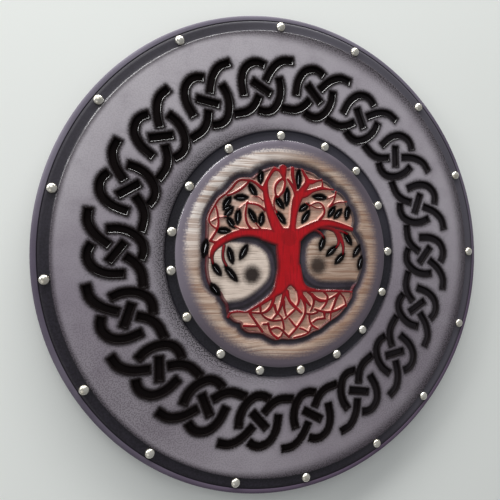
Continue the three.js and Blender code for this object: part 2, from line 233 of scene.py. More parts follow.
TWIGS = [
    [
        (-4.5, 89, 9), (-4, 84, 7), (-3.2, 79, 4), (-2.4, 75, 3), (-3, 70, 3.2), (-4.8, 65, 3.2),
        (-9.5, 60, 2.6),
    ],
    [
        (-4.5, 79, 3), (-9, 76.5, 3.4), (-12.6, 72, 3.2), (-13.8, 67, 2.8), (-13, 62, 2.6),
        (-11, 59, 2.4),
    ],
    [(-14, 88.5, 4), (-9, 87, 3.5), (-5.5, 83, 4), (-3.5, 78, 4)],
    [(-13.5, 60, 2.4), (-15, 55, 2.2), (-14.8, 49, 2.2), (-12, 43, 2)],
    [
        (-44.3, 53, 2.4), (-45.6, 48, 2.6), (-46.4, 41, 2.8), (-45.9, 35, 2.8), (-43.8, 29.5, 3),
        (-39, 24, 3.6),
    ],
    [(-43, 51.6, 2.4), (-37, 51.2, 2.6), (-31, 49.5, 2.8), (-25, 45, 3.4)],
    [(-42.5, 74.5, 2.6), (-47, 69.5, 2.8), (-53, 64.8, 3), (-60, 61, 2.6), (-66, 59, 2.2)],
    [
        (-61, 66.5, 3), (-67.5, 60.5, 2.6), (-74, 55.5, 2.6), (-78, 50, 2.4), (-81.5, 44, 2.6),
        (-84.6, 38, 2.4), (-85, 33, 2.4), (-82.5, 28.8, 2.4), (-78.5, 25.8, 2.2),
    ],
    [
        (-78, 48, 2.6), (-76.4, 42, 2.6), (-75.6, 36, 2.6), (-75.3, 30, 2.8), (-77, 24, 2.8),
        (-80.5, 18, 2.8), (-84, 13, 3),
    ],
    [
        (27, 51.5, 1.6), (32, 54, 2), (37.5, 54.7, 2.2), (42, 51.5, 2.6), (43.9, 46.5, 2.8),
        (42.5, 41.5, 3), (38, 36.5, 3.6),
    ],
    [(57.8, 67, 2.6), (56.4, 61, 2.4), (54, 55.5, 2.6), (49.5, 50.5, 2.4)],
    [
        (40, 28, 3), (49, 27.3, 2.8), (56, 25.3, 3.6), (61.5, 20.5, 4), (65, 13.5, 3), (66.8, 7, 2),
        (66.3, -1, 1.4),
    ],
]
FINE_TWIGS = [
    [(-82, 32.5, 2), (-76, 35.8, 1.8), (-67, 38, 1)],
    [(-45.5, 52, 1.2), (-49.5, 49, 1.2), (-54.5, 44.5, 1)],
    [(-38, 59.3, 1), (-32, 58.5, 1.4), (-27, 54.5, 2)],
    [(-35.5, 31.5, 1.6), (-32.5, 28, 2.2), (-29, 24, 3)],
    [(-58, 28, 1.4), (-53, 25.8, 1.6), (-46, 25, 2)],
    [(-77, 11, 4), (-84, 12.8, 2.4)],
    [(-69.5, 8, 2), (-70.7, 0, 1.6), (-70, -6, 1.6), (-67, -12, 1.6)],
    [(-80, 4, 2), (-82, -3, 2), (-81, -10, 1.4)],
    [(25, 52.5, 1.4), (30, 50.5, 1.8), (35, 48.8, 1.8), (41.5, 49, 1.8)],
    [(22, 54, 1.6), (26, 51.5, 2), (26, 48, 1.4)],
    [(41.4, 71, 3.4), (41.4, 76, 2.2), (40.5, 80, 2)],
    [(47.5, 59.8, 1.4), (52, 60.8, 1.8), (55.5, 62.5, 2)],
    [(50, 50.5, 2.4), (56, 54, 2.2), (62, 56, 1.8), (71, 56.8, 1.8)],
    [(57.5, 23.5, 2.6), (60.8, 17, 2.6), (61, 11, 2), (58, 6.5, 1.4)],
    [(59, 25.5, 1.8), (65.5, 24, 2), (72, 21.5, 1.6)],
    [(27, 25.5, 2), (34, 24.8, 2), (40, 21.5, 2), (43, 17, 1.6)],
]
ROOTS = [
    LEFT_BROW,
    RIGHT_BROW,
    [
        (-15.5, -45, 5), (-17.5, -52, 4.4), (-21, -57.5, 4), (-27, -61, 3), (-35, -61, 2.6),
        (-43, -59.8, 2.4),
    ],
    [(-42.5, -60.5, 3.2), (-38, -67, 3), (-33, -74, 3.2), (-28.5, -80.5, 3.4)],
    [(-49, -73.5, 3), (-41, -74.3, 3), (-34.5, -74.6, 2.6)],
    [(-29, -63, 2.4), (-24, -67, 2.8), (-17, -69.6, 3), (-8, -69.6, 2.6)],
    [(-22.2, -72, 3), (-20.3, -79, 3), (-16.5, -84.5, 3), (-11, -88.5, 3)],
    [(-18.5, -78.3, 2.6), (-13, -77, 2.6), (-7.5, -79.3, 2.6), (-3, -83.5, 2.8), (1.5, -88, 2.8)],
    [(-10, -63.5, 2.4), (-6.8, -67, 2.6), (-5.2, -72.5, 2.8), (-4.2, -79, 2.6)],
    [(8, -59.5, 2.8), (2.5, -64, 2.8), (-3.5, -68.8, 2.4)],
    [(-4.5, -50, 4), (-4, -57, 3.2), (-2, -64.5, 2.6)],
    [(-4, -42, 5), (-7.5, -54, 3.8), (-11, -61.5, 3.2), (-16.5, -67.5, 2.6)],
    [(-1, -40, 6), (1.5, -48.5, 4), (6.5, -54.5, 4), (11, -58.5, 3.6), (15.8, -62.8, 3)],
    [(13, -38, 6), (13.2, -49, 3.4), (11.3, -54.5, 2.8)],
    [
        (14, -40, 7), (18, -49, 4.4), (20.5, -56, 3.4), (20.3, -63, 3.2), (17, -70, 3.2),
        (12, -76.5, 3), (6.5, -82.5, 3), (2, -86.5, 2.6),
    ],
    [(14, -42, 6), (20, -48.5, 4.4), (26, -55.5, 3)],
    [(23, -40.5, 3), (28, -44.5, 3.4), (30.6, -50, 3.4), (29.5, -56, 3), (26.8, -61, 2.4)],
    [(28.5, -43, 3), (33, -48, 4), (38.5, -50.8, 4.4), (45, -51, 3)],
    [(42, -41, 2.6), (46.3, -45, 2.8), (47, -50, 2.8), (44, -55.5, 2.8), (40.3, -59.5, 2.2)],
    [(61, -43.5, 3.4), (57.3, -50, 3.4), (55, -56, 3.2), (52.3, -61, 2.8)],
    [(62.5, -43.5, 2.6), (66.8, -47.8, 2.4), (69, -53, 2.4), (70, -58, 2.4)],
    [
        (31.5, -59.5, 2.6), (38, -61.8, 3), (47, -63.5, 3.2), (56, -62.3, 3.2), (64, -59.3, 3),
        (69, -56.5, 2.6),
    ],
    [(22.5, -64, 2.6), (28, -64.8, 2.8), (35, -63.3, 2.6)],
    [(25, -65, 3), (25.5, -71, 2.8), (27.8, -76, 2.6), (33, -80, 2.6), (36, -81, 2)],
    [(29.5, -73.5, 2.6), (34.5, -70.8, 2.8), (44, -69.8, 2.8)],
    [(1.5, -68, 2.4), (5.5, -73, 2.6), (9.5, -77.5, 2.4)],
]
FINE_ROOTS = [
    [(-31, -52, 3.6), (-30.4, -59, 3)],
    [(-27.5, -73, 2.6), (-21.5, -73, 3)],
    [(-13, -88.5, 2.4), (-8.5, -87, 2.2), (-5.8, -83, 2.2)],
    [(-15, -54, 4), (-13, -61, 3)],
    [(62, -42.5, 3), (56.5, -46, 3), (48.5, -49.7, 2)],
    [(43, -63.5, 4.5), (43.5, -69, 2.4)],
    [(51, -64.5, 2.6), (50.3, -72.5, 2)],
    [(14, -79, 2.4), (19, -81, 2.4), (23.5, -83.5, 2)],
    [(27, -78.5, 2.4), (24.5, -84, 2.4), (17, -87, 2.4), (7, -88.8, 2.4)],
    [(-47, -60, 1.8), (-55, -58.8, 2.4), (-63, -60, 2.4), (-65, -64, 2)],
]

# %% Leaves, outline and ground of the tree
CROWN_LEAVES = [
    (-29.3, 79.5, 88, 13), (-38, 65.8, 121, 14), (-50.7, 57.6, 3, 14), (-65.8, 52.2, 56, 13),
    (-65.8, 46.8, 28, 8), (-63.8, 42.5, 50, 13), (-54.2, 38, 86, 15), (-38.2, 38.8, 120, 16),
    (-28.6, 35.8, 80, 13), (-61.8, 31.8, 122, 12), (-69.5, 23.4, 178, 14), (0.3, 60, 87, 18),
    (-8, 53.5, 128, 14), (-6.8, 38, 128, 15), (13.8, 79, 88, 19), (39, 61, 178, 16),
    (20, 49.5, 35, 13), (22, 39.5, 57, 15), (53.3, 45.5, 55, 13), (61, 43.5, 47, 13),
    (72.5, 44.5, 82, 14),
]
HANGING_LEAVES = [
    (-48.5, 2, 62, 16), (-62.5, -1.5, 105, 16), (-77, -15.5, 125, 14), (-62, -20, 130, 19),
    (-78.5, -35.5, 128, 14), (72.8, 16.5, 122, 15), (41, 11, 72, 15), (52.3, 2.8, 40, 15),
    (84, 3, 57, 15), (62.3, -5.5, 45, 15), (-88.8, 5.5, 82, 17), (88.3, -10, 75, 15),
]
LEAF_WIDTH = 5.0
LEAF_CUT = 0.66
LEAF_KEEL = 0.2
LEAF_DEPTH = 1.7
OUTLINE = [
    (-2, 90), (8, 90.5), (16, 90), (22, 88.5), (31, 86), (37, 82), (40, 80), (47, 77.5), (52.5, 73),
    (56, 68), (61, 67.5), (67, 63.5), (71, 58), (72.8, 53), (77, 48.5), (80, 42), (81, 35),
    (79.5, 29.5), (79.5, 23), (84, 17), (87.5, 10), (90, 2), (91, -8), (90, -18), (86.5, -27),
    (84, -33), (80, -38), (78, -43), (77.5, -48), (73.5, -54), (69.5, -59), (64, -65), (58, -69.5),
    (51, -73), (45, -77), (38, -81.5), (30, -84), (23, -87.5), (12, -90), (2, -90.5), (-6, -89.5),
    (-14, -90), (-21, -87), (-28, -83), (-36, -81.5), (-44, -80.5), (-50, -76), (-52, -71),
    (-57, -69.5), (-62, -66), (-65.5, -60), (-67, -52), (-71.5, -45), (-74, -40), (-79.5, -36),
    (-84.5, -30), (-87, -22), (-88, -13), (-87.5, -4), (-88, 6), (-87.5, 16), (-87.2, 26),
    (-87, 34), (-84.5, 42), (-80, 50), (-75, 57), (-68, 62), (-63, 67.5), (-58.5, 73), (-52, 77),
    (-45, 78), (-39, 78), (-34, 82), (-27, 86), (-17, 90), (-10, 90),
]
RIM_WIDTH = 1.6
HOLLOW_EDGES = [
    [
        (-62, 15, -9), (-46, 16.5, -2), (-30, 14, 0), (-17, 3, 0), (-12, -14, 0), (-15, -30, 0),
        (-29, -44, 0), (-47, -54, 0), (-65, -56.5, 0),
    ],
    [
        (38, 25, 0), (27, 22, 0), (17, 10, 0), (15, -10, 0), (20, -26, 0), (34, -36, 0),
        (56, -38.5, 0), (79, -38, 0),
    ],
]
CROWN_DEPTH = 1.6
ROOT_DEPTH = 1.6
HOLLOW_DEPTH = 0.5
MOAT_DEPTH = 2.6
MOAT_FLOOR = 3.0
MOAT_SLOPE = 6.0
HOLLOW_SLOPE = 7.0
WALL_WIDTH = 0.7

STRAND_STEP = 1.6
FAR = 30.0
trunk_line = smooth_line(TRUNK_AND_BOUGHS[0], STRAND_STEP)
outline_line = smooth_line([(x, y, 0) for x, y in OUTLINE + OUTLINE[:1]], STRAND_STEP)
red_lines = [
    smooth_line(points, STRAND_STEP)
    for points in TRUNK_AND_BOUGHS[1:] + TWIGS + FINE_TWIGS + ROOTS + FINE_ROOTS
]
hollow_lines = [smooth_line(points, STRAND_STEP) for points in HOLLOW_EDGES]
low_bough_left = smooth_line(LOW_LEFT_BOUGH, STRAND_STEP)[::-1]
low_bough_right = smooth_line(LOW_RIGHT_BOUGH, STRAND_STEP)
brow_left = smooth_line(LEFT_BROW, STRAND_STEP)[::-1]
brow_right = smooth_line(RIGHT_BROW, STRAND_STEP)
print(len(red_lines), "strands,", len(CROWN_LEAVES) + len(HANGING_LEAVES), "leaves")

# %% [markdown]
# Relief as a function
#
# A carved surface is a height over a flat face, so the tree can be written as one function: the
# depth of the ground, raised to the face inside every strand, and lowered again in the leaves.
# The alternative is to cut each shape with booleans, which leaves far more seams to clean up.

# %% The tree's relief


def outline_gap(places):
    """How far each place is outside the tree's lobed outline, negative inside it."""
    away = gap_to_strand(places, outline_line, square=False)
    outline_angle = np.arctan2(outline_line[:, 1], outline_line[:, 0])
    outline_radius = np.hypot(outline_line[:, 0], outline_line[:, 1])
    order = np.argsort(outline_angle)
    angle = np.arctan2(places[:, 1], places[:, 0])
    edge = np.interp(angle, outline_angle[order], outline_radius[order], period=2 * math.pi)
    return np.where(np.hypot(*places.T) > edge, away, -away)


def leaf_measures(places, leaves):
    """Gap to the nearest leaf's edge, depth in it from 0 to 1, and place across and along it."""
    gap = np.full(len(places), 40.0)
    depth = np.zeros(len(places))
    own_across = np.full(len(places), 40.0)
    own_along = np.zeros(len(places))
    brink = math.hypot(1, LEAF_KEEL)
    for x, y, degrees, length in leaves:
        turn = math.radians(degrees)
        offset = places - (x, y)
        along = offset @ (math.cos(turn), math.sin(turn)) / (length / 2)
        lower_side = -1 if math.cos(turn) > 0 else 1
        side = offset @ (-math.sin(turn), math.cos(turn)) * lower_side
        across = np.abs(side)
        half = LEAF_WIDTH / 2 * np.clip(1 - along ** 2, 0, 1) ** 0.75
        beyond = np.maximum(np.abs(along) - 1, 0) * length / 2
        gap_here = np.hypot(np.maximum(across - half, 0), beyond) - np.maximum(half - across, 0)
        own_across = np.where(gap_here < gap, side, own_across)
        own_along = np.where(gap_here < gap, along, own_along)
        gap = np.minimum(gap, gap_here)
        share = np.clip(across / np.maximum(half * LEAF_CUT, 0.05), 0, 1)
        trough = (brink - np.hypot(share, LEAF_KEEL)) / (brink - LEAF_KEEL)
        trough = trough * np.clip(1 - along ** 2, 0, 1) ** 0.6
        depth = np.maximum(depth, np.where(np.abs(along) < 1, trough, 0))
    return gap, depth, own_across, own_along


def red_strand_gap(places):
    """Distance to the edge of the nearest red strand, the square-footed trunk included."""
    trunk_gap = gap_to_strands(places, [trunk_line], FAR, square=True)
    return np.minimum(trunk_gap, gap_to_strands(places, red_lines, FAR))


def tree_measures(places):
    """Everything that shape and paint need to know about each place on the middle disc."""
    low_boughs = np.vstack([low_bough_left, [[0, 20, 0]], low_bough_right])
    brows = np.vstack([brow_left, [[0, -33, 0]], brow_right])
    order = np.argsort(low_boughs[:, 0])
    bough_height = np.interp(places[:, 0], low_boughs[order, 0], low_boughs[order, 1])
    order = np.argsort(brows[:, 0])
    brow_height = np.interp(places[:, 0], brows[order, 0], brows[order, 1])
    measures = {
        "red": red_strand_gap(places),
        "outside": outline_gap(places),
        "crown": smooth_step(-1.2, 1.2, places[:, 1] - bough_height),
        "roots": smooth_step(-1.0, 1.0, brow_height - places[:, 1]),
        "hollow": gap_to_strands(places, hollow_lines, 40.0),
    }
    leaves = CROWN_LEAVES + HANGING_LEAVES
    measures["leaf"], measures["pit"], measures["across"], measures["along"] = leaf_measures(places, leaves)
    measures["rim"] = np.abs(measures["outside"] + RIM_WIDTH / 2) - RIM_WIDTH / 2
    return measures


def tree_relief(places):
    """Height of the carved surface over the face, in millimetres, never above 0."""
    m = tree_measures(places)
    between = np.clip(1 - m["crown"] - m["roots"], 0, 1)
    ground = CROWN_DEPTH * m["crown"] + ROOT_DEPTH * m["roots"] + HOLLOW_DEPTH * between
    moat = 1 - smooth_step(MOAT_FLOOR, MOAT_FLOOR + HOLLOW_SLOPE, m["hollow"])
    inner = ground + (MOAT_DEPTH - HOLLOW_DEPTH) * moat * between
    outer = MOAT_DEPTH * (1 - smooth_step(MOAT_FLOOR, MOAT_FLOOR + MOAT_SLOPE, m["outside"]))
    ground = np.where(m["outside"] < 0, inner, outer)
    standing = np.minimum(m["red"], m["rim"])
    cut = smooth_step(0, WALL_WIDTH, standing)
    crest = 0.22 * smooth_step(-0.9, 0, standing) * (1 - cut)
    return -(ground * cut + crest + LEAF_DEPTH * m["pit"])


# %% [markdown]
# The field and its grooves
#
# The flat field is one sheet with ninety strips let into it. Each strip is drawn as two rails that
# bridge_loops joins, triangle_fill closes the sheet between the strips and the two circles, and
# inset_region then pushes every strip down in small steps, as a gouge does. A height function over a
# grid would be shorter, but its walls would be ragged, and these walls catch the light. The sheet's
# long edges are halved near the strips, because its corners also carry the sprayed paint.

# %% Rings and strips
RING_SIDES = 240
SHEET_MARGIN = 1.4
REFINE_ROUNDS = 7


def ring_edges(bm, radius, height):
    """A circle of edges."""
    made = bmesh.ops.create_circle(bm, cap_ends=False, radius=radius, segments=RING_SIDES)
    bmesh.ops.translate(bm, verts=made["verts"], vec=(0, 0, height))
    return list({edge for vert in made["verts"] for edge in vert.link_edges})


def rail(bm, places):
    """An open chain of edges through the places on the face."""
    verts = [bm.verts.new((x, y, FACE)) for x, y in places]
    return [bm.edges.new(pair) for pair in zip(verts[:-1], verts[1:])]


def add_strip(bm, line):
    """The flat strip of a strand: two rails and the faces between them."""
    along = np.gradient(line[:, :2], axis=0)
    along /= np.linalg.norm(along, axis=1)[:, None]
    across = np.stack([-along[:, 1], along[:, 0]], axis=1) * line[:, 2:] / 2
    left = rail(bm, line[:, :2] + across)
    right = rail(bm, line[:, :2] - across)
    return bmesh.ops.bridge_loops(bm, edges=left + right)["faces"]


def sheet_edges(bm, strips):
    """Edges inside the flat sheet between the strips."""
    return [e for e in bm.edges if len(e.link_faces) == 2 and not any(f in strips for f in e.link_faces)]


def refine_sheet(bm, strips, near_edge, far_edge):
    """Halve the sheet's long edges and turn its diagonals, until it is fine near the strips."""
    for _ in range(REFINE_ROUNDS):
        inner = sheet_edges(bm, strips)
        middles = np.array([(e.verts[0].co + e.verts[1].co)[:2] for e in inner]) / 2
        gap = gap_to_strands(middles, knot_lines, FAR, square=True)
        limits = np.interp(gap, [2.5, 14], [near_edge, far_edge])
        long_edges = [e for e, limit in zip(inner, limits) if e.calc_length() > limit]
        if not long_edges:
            break
        bmesh.ops.subdivide_edges(bm, edges=long_edges, cuts=1)
        bmesh.ops.triangulate(bm, faces=[f for f in bm.faces if f not in strips and len(f.verts) > 3])
        sheet = [f for f in bm.faces if f not in strips]
        bmesh.ops.beautify_fill(bm, faces=sheet, edges=sheet_edges(bm, strips))


board_mesh = bmesh.new()
strip_faces = [face for line in knot_lines for face in add_strip(board_mesh, line)]
outer_ring = ring_edges(board_mesh, FIELD_OUTER - SHEET_MARGIN, FACE)
inner_ring = ring_edges(board_mesh, FIELD_INNER + SHEET_MARGIN, FACE)
strip_rims = [e for e in board_mesh.edges if len(e.link_faces) == 1]
bmesh.ops.triangle_fill(
    board_mesh, use_beauty=True, use_dissolve=False, edges=strip_rims + outer_ring + inner_ring,
)
NEAR_EDGE = 3.2
FAR_EDGE = 14.0
refine_sheet(board_mesh, set(strip_faces), NEAR_EDGE, FAR_EDGE)
print(len(strip_faces), "faces in the strips,", len(board_mesh.faces) - len(strip_faces), "in the field")
bmesh.ops.recalc_face_normals(board_mesh, faces=board_mesh.faces)
if sum(f.normal.z for f in board_mesh.faces) < 0:
    bmesh.ops.reverse_faces(board_mesh, faces=board_mesh.faces)

# %% Carve the grooves
EDGE_STEPS = [(0.08, 0.04), (0.2, 0.16), (0.24, 0.26)]
WALL_STEPS = [(0.34, 1.65), (0.22, 0.9), (0.24, 0.3), (0.34, 0.07)]
GROOVE_PASSES = [(0.1, 0.0)] + EDGE_STEPS + WALL_STEPS
carved_faces = list(strip_faces)
for width, depth in GROOVE_PASSES:
    bmesh.ops.inset_region(
        board_mesh, faces=carved_faces, thickness=width, depth=-depth,
        use_even_offset=True, use_boundary=True,
    )
print("groove depth", round(sum(depth for _, depth in GROOVE_PASSES), 2), "mm")

# %% [markdown]
# Bands, shoulder and back
#
# The rest of the board is turned, so it grows ring by ring from the field's two circles: a ring of
# edges is extruded and scaled to the next point of the profile. Small steps where the profile turns
# give the edges their worn roundness, which is what draws the thin line of light round each step.

# %% Turned rings


def grow_rings(bm, ring, profile):
    """Extrude a ring of edges through the points [radius, height] of a profile."""
    for radius, height in profile:
        made = bmesh.ops.extrude_edge_only(bm, edges=ring)["geom"]
        ring = [g for g in made if isinstance(g, bmesh.types.BMEdge)]
        for vert in (g for g in made if isinstance(g, bmesh.types.BMVert)):
            flat = Vector((vert.co.x, vert.co.y, 0)).normalized() * radius
            vert.co = (flat.x, flat.y, height)
    return ring


def rounded(corner, before, after, size, steps=3):
    """Points of a round corner between two directions, for a profile."""
    corner, before, after = (np.array(p, float) for p in (corner, before, after))
    start = corner + (before - corner) / np.linalg.norm(before - corner) * size
    end = corner + (after - corner) / np.linalg.norm(after - corner) * size
    shares = np.linspace(0, 1, steps + 1)[:, None]
    curve = (1 - shares) ** 2 * start + 2 * shares * (1 - shares) * corner + shares ** 2 * end
    return [tuple(p) for p in curve]


def worn_edge(radius, height):
    """Points of a step's worn edge, with the same facets as the grooves, outwards and down."""
    half_width = sum(width for width, _ in EDGE_STEPS) / 2
    points = [(radius - half_width, height)]
    for width, depth in EDGE_STEPS:
        points.append((points[-1][0] + width, points[-1][1] - depth))
    return points


EDGE_ROUND = 0.55
INNER_ROUND = 0.5
LINE_DEPTH = 0.45
SQUARENESS = 0.6
shoulder = [
    (
        BAND_OUTER + SHOULDER_WIDTH * math.sin(turn) ** SQUARENESS,
        BAND - SHOULDER_DROP * (1 - max(math.cos(turn), 0) ** SQUARENESS),
    )
    for turn in np.linspace(math.radians(3), math.pi / 2, 13)
]
band_foot = (FIELD_OUTER + STEP_LEAN, BAND)
channel_foot = (FIELD_INNER - STEP_LEAN, CHANNEL)
disc_foot = (MEDALLION_RADIUS + STEP_LEAN, CHANNEL)
outward = (
    worn_edge(FIELD_OUTER, FACE)
    + rounded(band_foot, (FIELD_OUTER, FACE), (BAND_OUTER, BAND), INNER_ROUND)
    + [(FIELD_OUTER + 4, BAND), (BAND_OUTER - 3, BAND), (BAND_OUTER - 0.7, BAND)]
    + [(BAND_OUTER - 0.2, BAND - LINE_DEPTH), (BAND_OUTER + 0.25, BAND - LINE_DEPTH)]
    + [(BAND_OUTER + 0.6, BAND)]
    + shoulder
    + [(SHIELD_RADIUS, BACK_CHAMFER + 4), (SHIELD_RADIUS, BACK_CHAMFER + 0.5), (SHIELD_RADIUS - 0.4, 0.6)]
    + [(SHIELD_RADIUS - BACK_CHAMFER, 0.0), (SHIELD_RADIUS - BACK_CHAMFER - 3, 0.0)]
)
inward = (
    rounded((FIELD_INNER, FACE), (FIELD_INNER + 3, FACE), channel_foot, EDGE_ROUND)
    + rounded(channel_foot, (FIELD_INNER, FACE), (MEDALLION_RADIUS, CHANNEL), INNER_ROUND)
    + [(FIELD_INNER - 4, CHANNEL), (MEDALLION_RADIUS + 3, CHANNEL)]
    + rounded(disc_foot, (FIELD_INNER, CHANNEL), (MEDALLION_RADIUS, FACE), INNER_ROUND)
    + worn_edge(MEDALLION_RADIUS, FACE)[::-1]
    + [(MEDALLION_RADIUS - 4, FACE), (MEDALLION_RADIUS - 10, FACE), (TREE_SHEET_RADIUS, FACE)]
)
back_ring = grow_rings(board_mesh, outer_ring, outward)
tree_ring = grow_rings(board_mesh, inner_ring, inward)
bmesh.ops.contextual_create(board_mesh, geom=back_ring)
print(len(board_mesh.faces), "faces with the turned rings")

# %% [markdown]
# The middle disc
#
# The disc starts as a square grid, trimmed to a circle and joined to the last turned ring. Where the
# relief changes, its squares are cut in four, and again where a wall stands, so the mesh is fine only
# where the carving is. Corners that lie close to a strand's edge then slide onto it.

# %% Grid for the tree
GRID_STEP = 2.2
GRID_RADIUS = TREE_SHEET_RADIUS - 2.2
grid_half = math.ceil(GRID_RADIUS / GRID_STEP) * GRID_STEP
known_verts = set(board_mesh.verts)
grid = bmesh.ops.create_grid(
    board_mesh, x_segments=round(2 * grid_half / GRID_STEP), y_segments=round(2 * grid_half / GRID_STEP),
    size=grid_half,
)
bmesh.ops.translate(board_mesh, verts=grid["verts"], vec=(0, 0, FACE))
stray = [v for v in grid["verts"] if math.hypot(v.co.x, v.co.y) > GRID_RADIUS]
bmesh.ops.delete(board_mesh, geom=stray, context="VERTS")
grid_verts = [v for v in board_mesh.verts if v not in known_verts]
loose = [v for v in grid_verts if not v.link_faces]
bmesh.ops.delete(board_mesh, geom=loose, context="VERTS")
grid_verts = [v for v in board_mesh.verts if v not in known_verts]
grid_rim = list({e for v in grid_verts for e in v.link_edges if len(e.link_faces) == 1})
bmesh.ops.triangle_fill(board_mesh, use_beauty=True, use_dissolve=False, edges=grid_rim + tree_ring)
print(len(grid_verts), "grid corners")


def refine_near_carving(bm, verts, near, pit_near):
    """Quarter the faces whose corners lie near a wall or in a leaf, and return all corners."""
    places = np.array([v.co[:2] for v in verts])
    m = tree_measures(places)
    walls = np.minimum(np.abs(m["red"] - 0.3), np.abs(m["rim"] - 0.3))
    close = (walls < near) | (np.abs(m["leaf"]) < pit_near) | (m["pit"] > 0)
    tagged = {v for v, is_close in zip(verts, close) if is_close}
    reach = GRID_RADIUS - 1
    faces = {
        f for v in tagged for f in v.link_faces
        if math.hypot(*f.calc_center_median()[:2]) < reach
    }
    edges = list({e for f in faces for e in f.edges})
    bmesh.ops.subdivide_edges(bm, edges=edges, cuts=1, use_grid_fill=True)
    return [v for v in bm.verts if math.hypot(v.co.x, v.co.y) < TREE_SHEET_RADIUS - 0.01]


tree_verts = refine_near_carving(board_mesh, grid_verts, 1.4, 0.7)
tree_verts = refine_near_carving(board_mesh, tree_verts, 0.2, 0.15)
print(len(tree_verts), "corners under the tree")

# %% Carve the tree
places = np.array([v.co[:2] for v in tree_verts])
SLIDE_REACH = 0.29
PROBE = 0.05


def wall_gap(spots):
    """Gap to the nearest standing edge."""
    rim_gap_there = np.abs(outline_gap(spots) + RIM_WIDTH / 2) - RIM_WIDTH / 2
    return np.minimum(red_strand_gap(spots), rim_gap_there)


for level in (0.0, WALL_WIDTH):
    gap = wall_gap(places) - level
    close = np.abs(gap) < SLIDE_REACH
    spots = places[close]
    slope = np.stack([
        (wall_gap(spots + (PROBE, 0)) - wall_gap(spots - (PROBE, 0))) / (2 * PROBE),
        (wall_gap(spots + (0, PROBE)) - wall_gap(spots - (0, PROBE))) / (2 * PROBE),
    ], axis=1)
    size = np.linalg.norm(slope, axis=1)[:, None]
    steady = size[:, 0] > 0.8
    moved = spots - gap[close][:, None] * slope / np.maximum(size, 0.5)
    places[np.flatnonzero(close)[steady]] = moved[steady]
heights = FACE + tree_relief(places)
for vert, (x, y), height in zip(tree_verts, places, heights):
    vert.co = (x, y, height)
print("deepest carving", round(FACE - float(heights.min()), 2), "mm")

# %% [markdown]
# Paint by numbers
#
# The paint follows the carving: black in the grooves with a soft sprayed edge, red on the strands,
# grey in the moats. Each corner of the mesh keeps its distance to the nearest carved edge as an
# attribute, and the material turns distances into paint. Distances blend well between corners. A
# groove's corners also keep which way its edge faces, because only edges towards the light glint.

# %% Measures kept on the mesh
bmesh.ops.triangulate(board_mesh, faces=[f for f in board_mesh.faces if 4 < len(f.verts) < 100])
board_mesh.verts.ensure_lookup_table()
everywhere = np.array([v.co[:2] for v in board_mesh.verts])
radius_of = np.hypot(*everywhere.T)
on_disc = radius_of < TREE_SHEET_RADIUS + 0.1
knot_gap = np.full(len(everywhere), FAR)
knot_gap[~on_disc] = gap_to_strands(everywhere[~on_disc], knot_lines, FAR, square=True)
TOWARDS_LIGHT = np.array([-0.6, 0.8])
FACING_PROBE = 0.3
by_groove = np.flatnonzero(np.abs(knot_gap) < 2.0)
ahead = gap_to_strands(everywhere[by_groove] + TOWARDS_LIGHT * FACING_PROBE, knot_lines, FAR, square=True)
behind = gap_to_strands(everywhere[by_groove] - TOWARDS_LIGHT * FACING_PROBE, knot_lines, FAR, square=True)
knot_facing = np.zeros(len(everywhere))
knot_facing[by_groove] = (behind - ahead) / (2 * FACING_PROBE)
measures = tree_measures(everywhere[on_disc])
is_hollow = measures["crown"] + measures["roots"] < 0.5
measures["hollow"] = np.where(is_hollow, measures["hollow"], -measures["hollow"])
MEASURE_NAMES = {
    "red": "red_gap", "leaf": "leaf_gap", "across": "leaf_across", "along": "leaf_along",
    "rim": "rim_gap", "outside": "outer_gap", "hollow": "hollow_gap",
}
kept_measures = {"knot_gap": knot_gap, "knot_facing": knot_facing}
for measure, name in MEASURE_NAMES.items():
    kept_measures[name] = np.full(len(everywhere), FAR)
    kept_measures[name][on_disc] = measures[measure]
print(len(kept_measures), "measures kept on", len(everywhere), "corners")


def mesh_object(name, bm, material):
    """An object at the origin with the bmesh's shape in metres."""
    bmesh.ops.scale(bm, vec=(MM, MM, MM), verts=bm.verts)
    bmesh.ops.recalc_face_normals(bm, faces=bm.faces)
    mesh = bpy.data.meshes.new(name)
    bm.to_mesh(mesh)
    bm.free()
    mesh.materials.append(material)
    made = bpy.data.objects.new(name, mesh)
    bpy.context.scene.collection.objects.link(made)
    return made


# %% [markdown]
# Shader maths
#
# Node trees get long, so a small class wraps a socket and lets ordinary Python expressions add the
# Math nodes. Colours and vectors go through Mix and Vector Math nodes, because a Math node turns a
# colour grey. Every node comes from add_node, which takes its type, its settings and its sockets.

# %% The wire class


class Wire:
    """One output socket of a material, with arithmetic."""

    def __init__(self, tree, socket):
        self.tree = tree
        self.socket = socket

    def math(self, operation, *others):
        """A Math node of this value and others."""
        values = dict(enumerate((self, *others)))
        return add_node(self.tree, "ShaderNodeMath", {"operation": operation}, values)

    def __add__(self, other):
        return self.math("ADD", other)

    def __radd__(self, other):
        return self.math("ADD", other)

    def __sub__(self, other):
        return self.math("SUBTRACT", other)

    def __rsub__(self, other):
        return (self * -1.0).math("ADD", other)

    def __mul__(self, other):
        return self.math("MULTIPLY", other)

    def __rmul__(self, other):
        return self.math("MULTIPLY", other)

    def __pow__(self, other):
        return self.math("POWER", other)

    def between(self, start, end, first=0.0, last=1.0):
        """A soft ramp from first at start to last at end."""
        values = {"Value": self, "From Min": start, "From Max": end, "To Min": first, "To Max": last}
        return add_node(self.tree, "ShaderNodeMapRange", {"interpolation_type": "SMOOTHSTEP"}, values)

    def clamp(self):
        """The value held between 0 and 1."""
        return self.math("MAXIMUM", 0.0).math("MINIMUM", 1.0)


def plug(tree, socket, value):
    """Link a wire to a socket, or set the socket's own value."""
    if isinstance(value, Wire):
        tree.links.new(value.socket, socket)
    else:
        socket.default_value = value


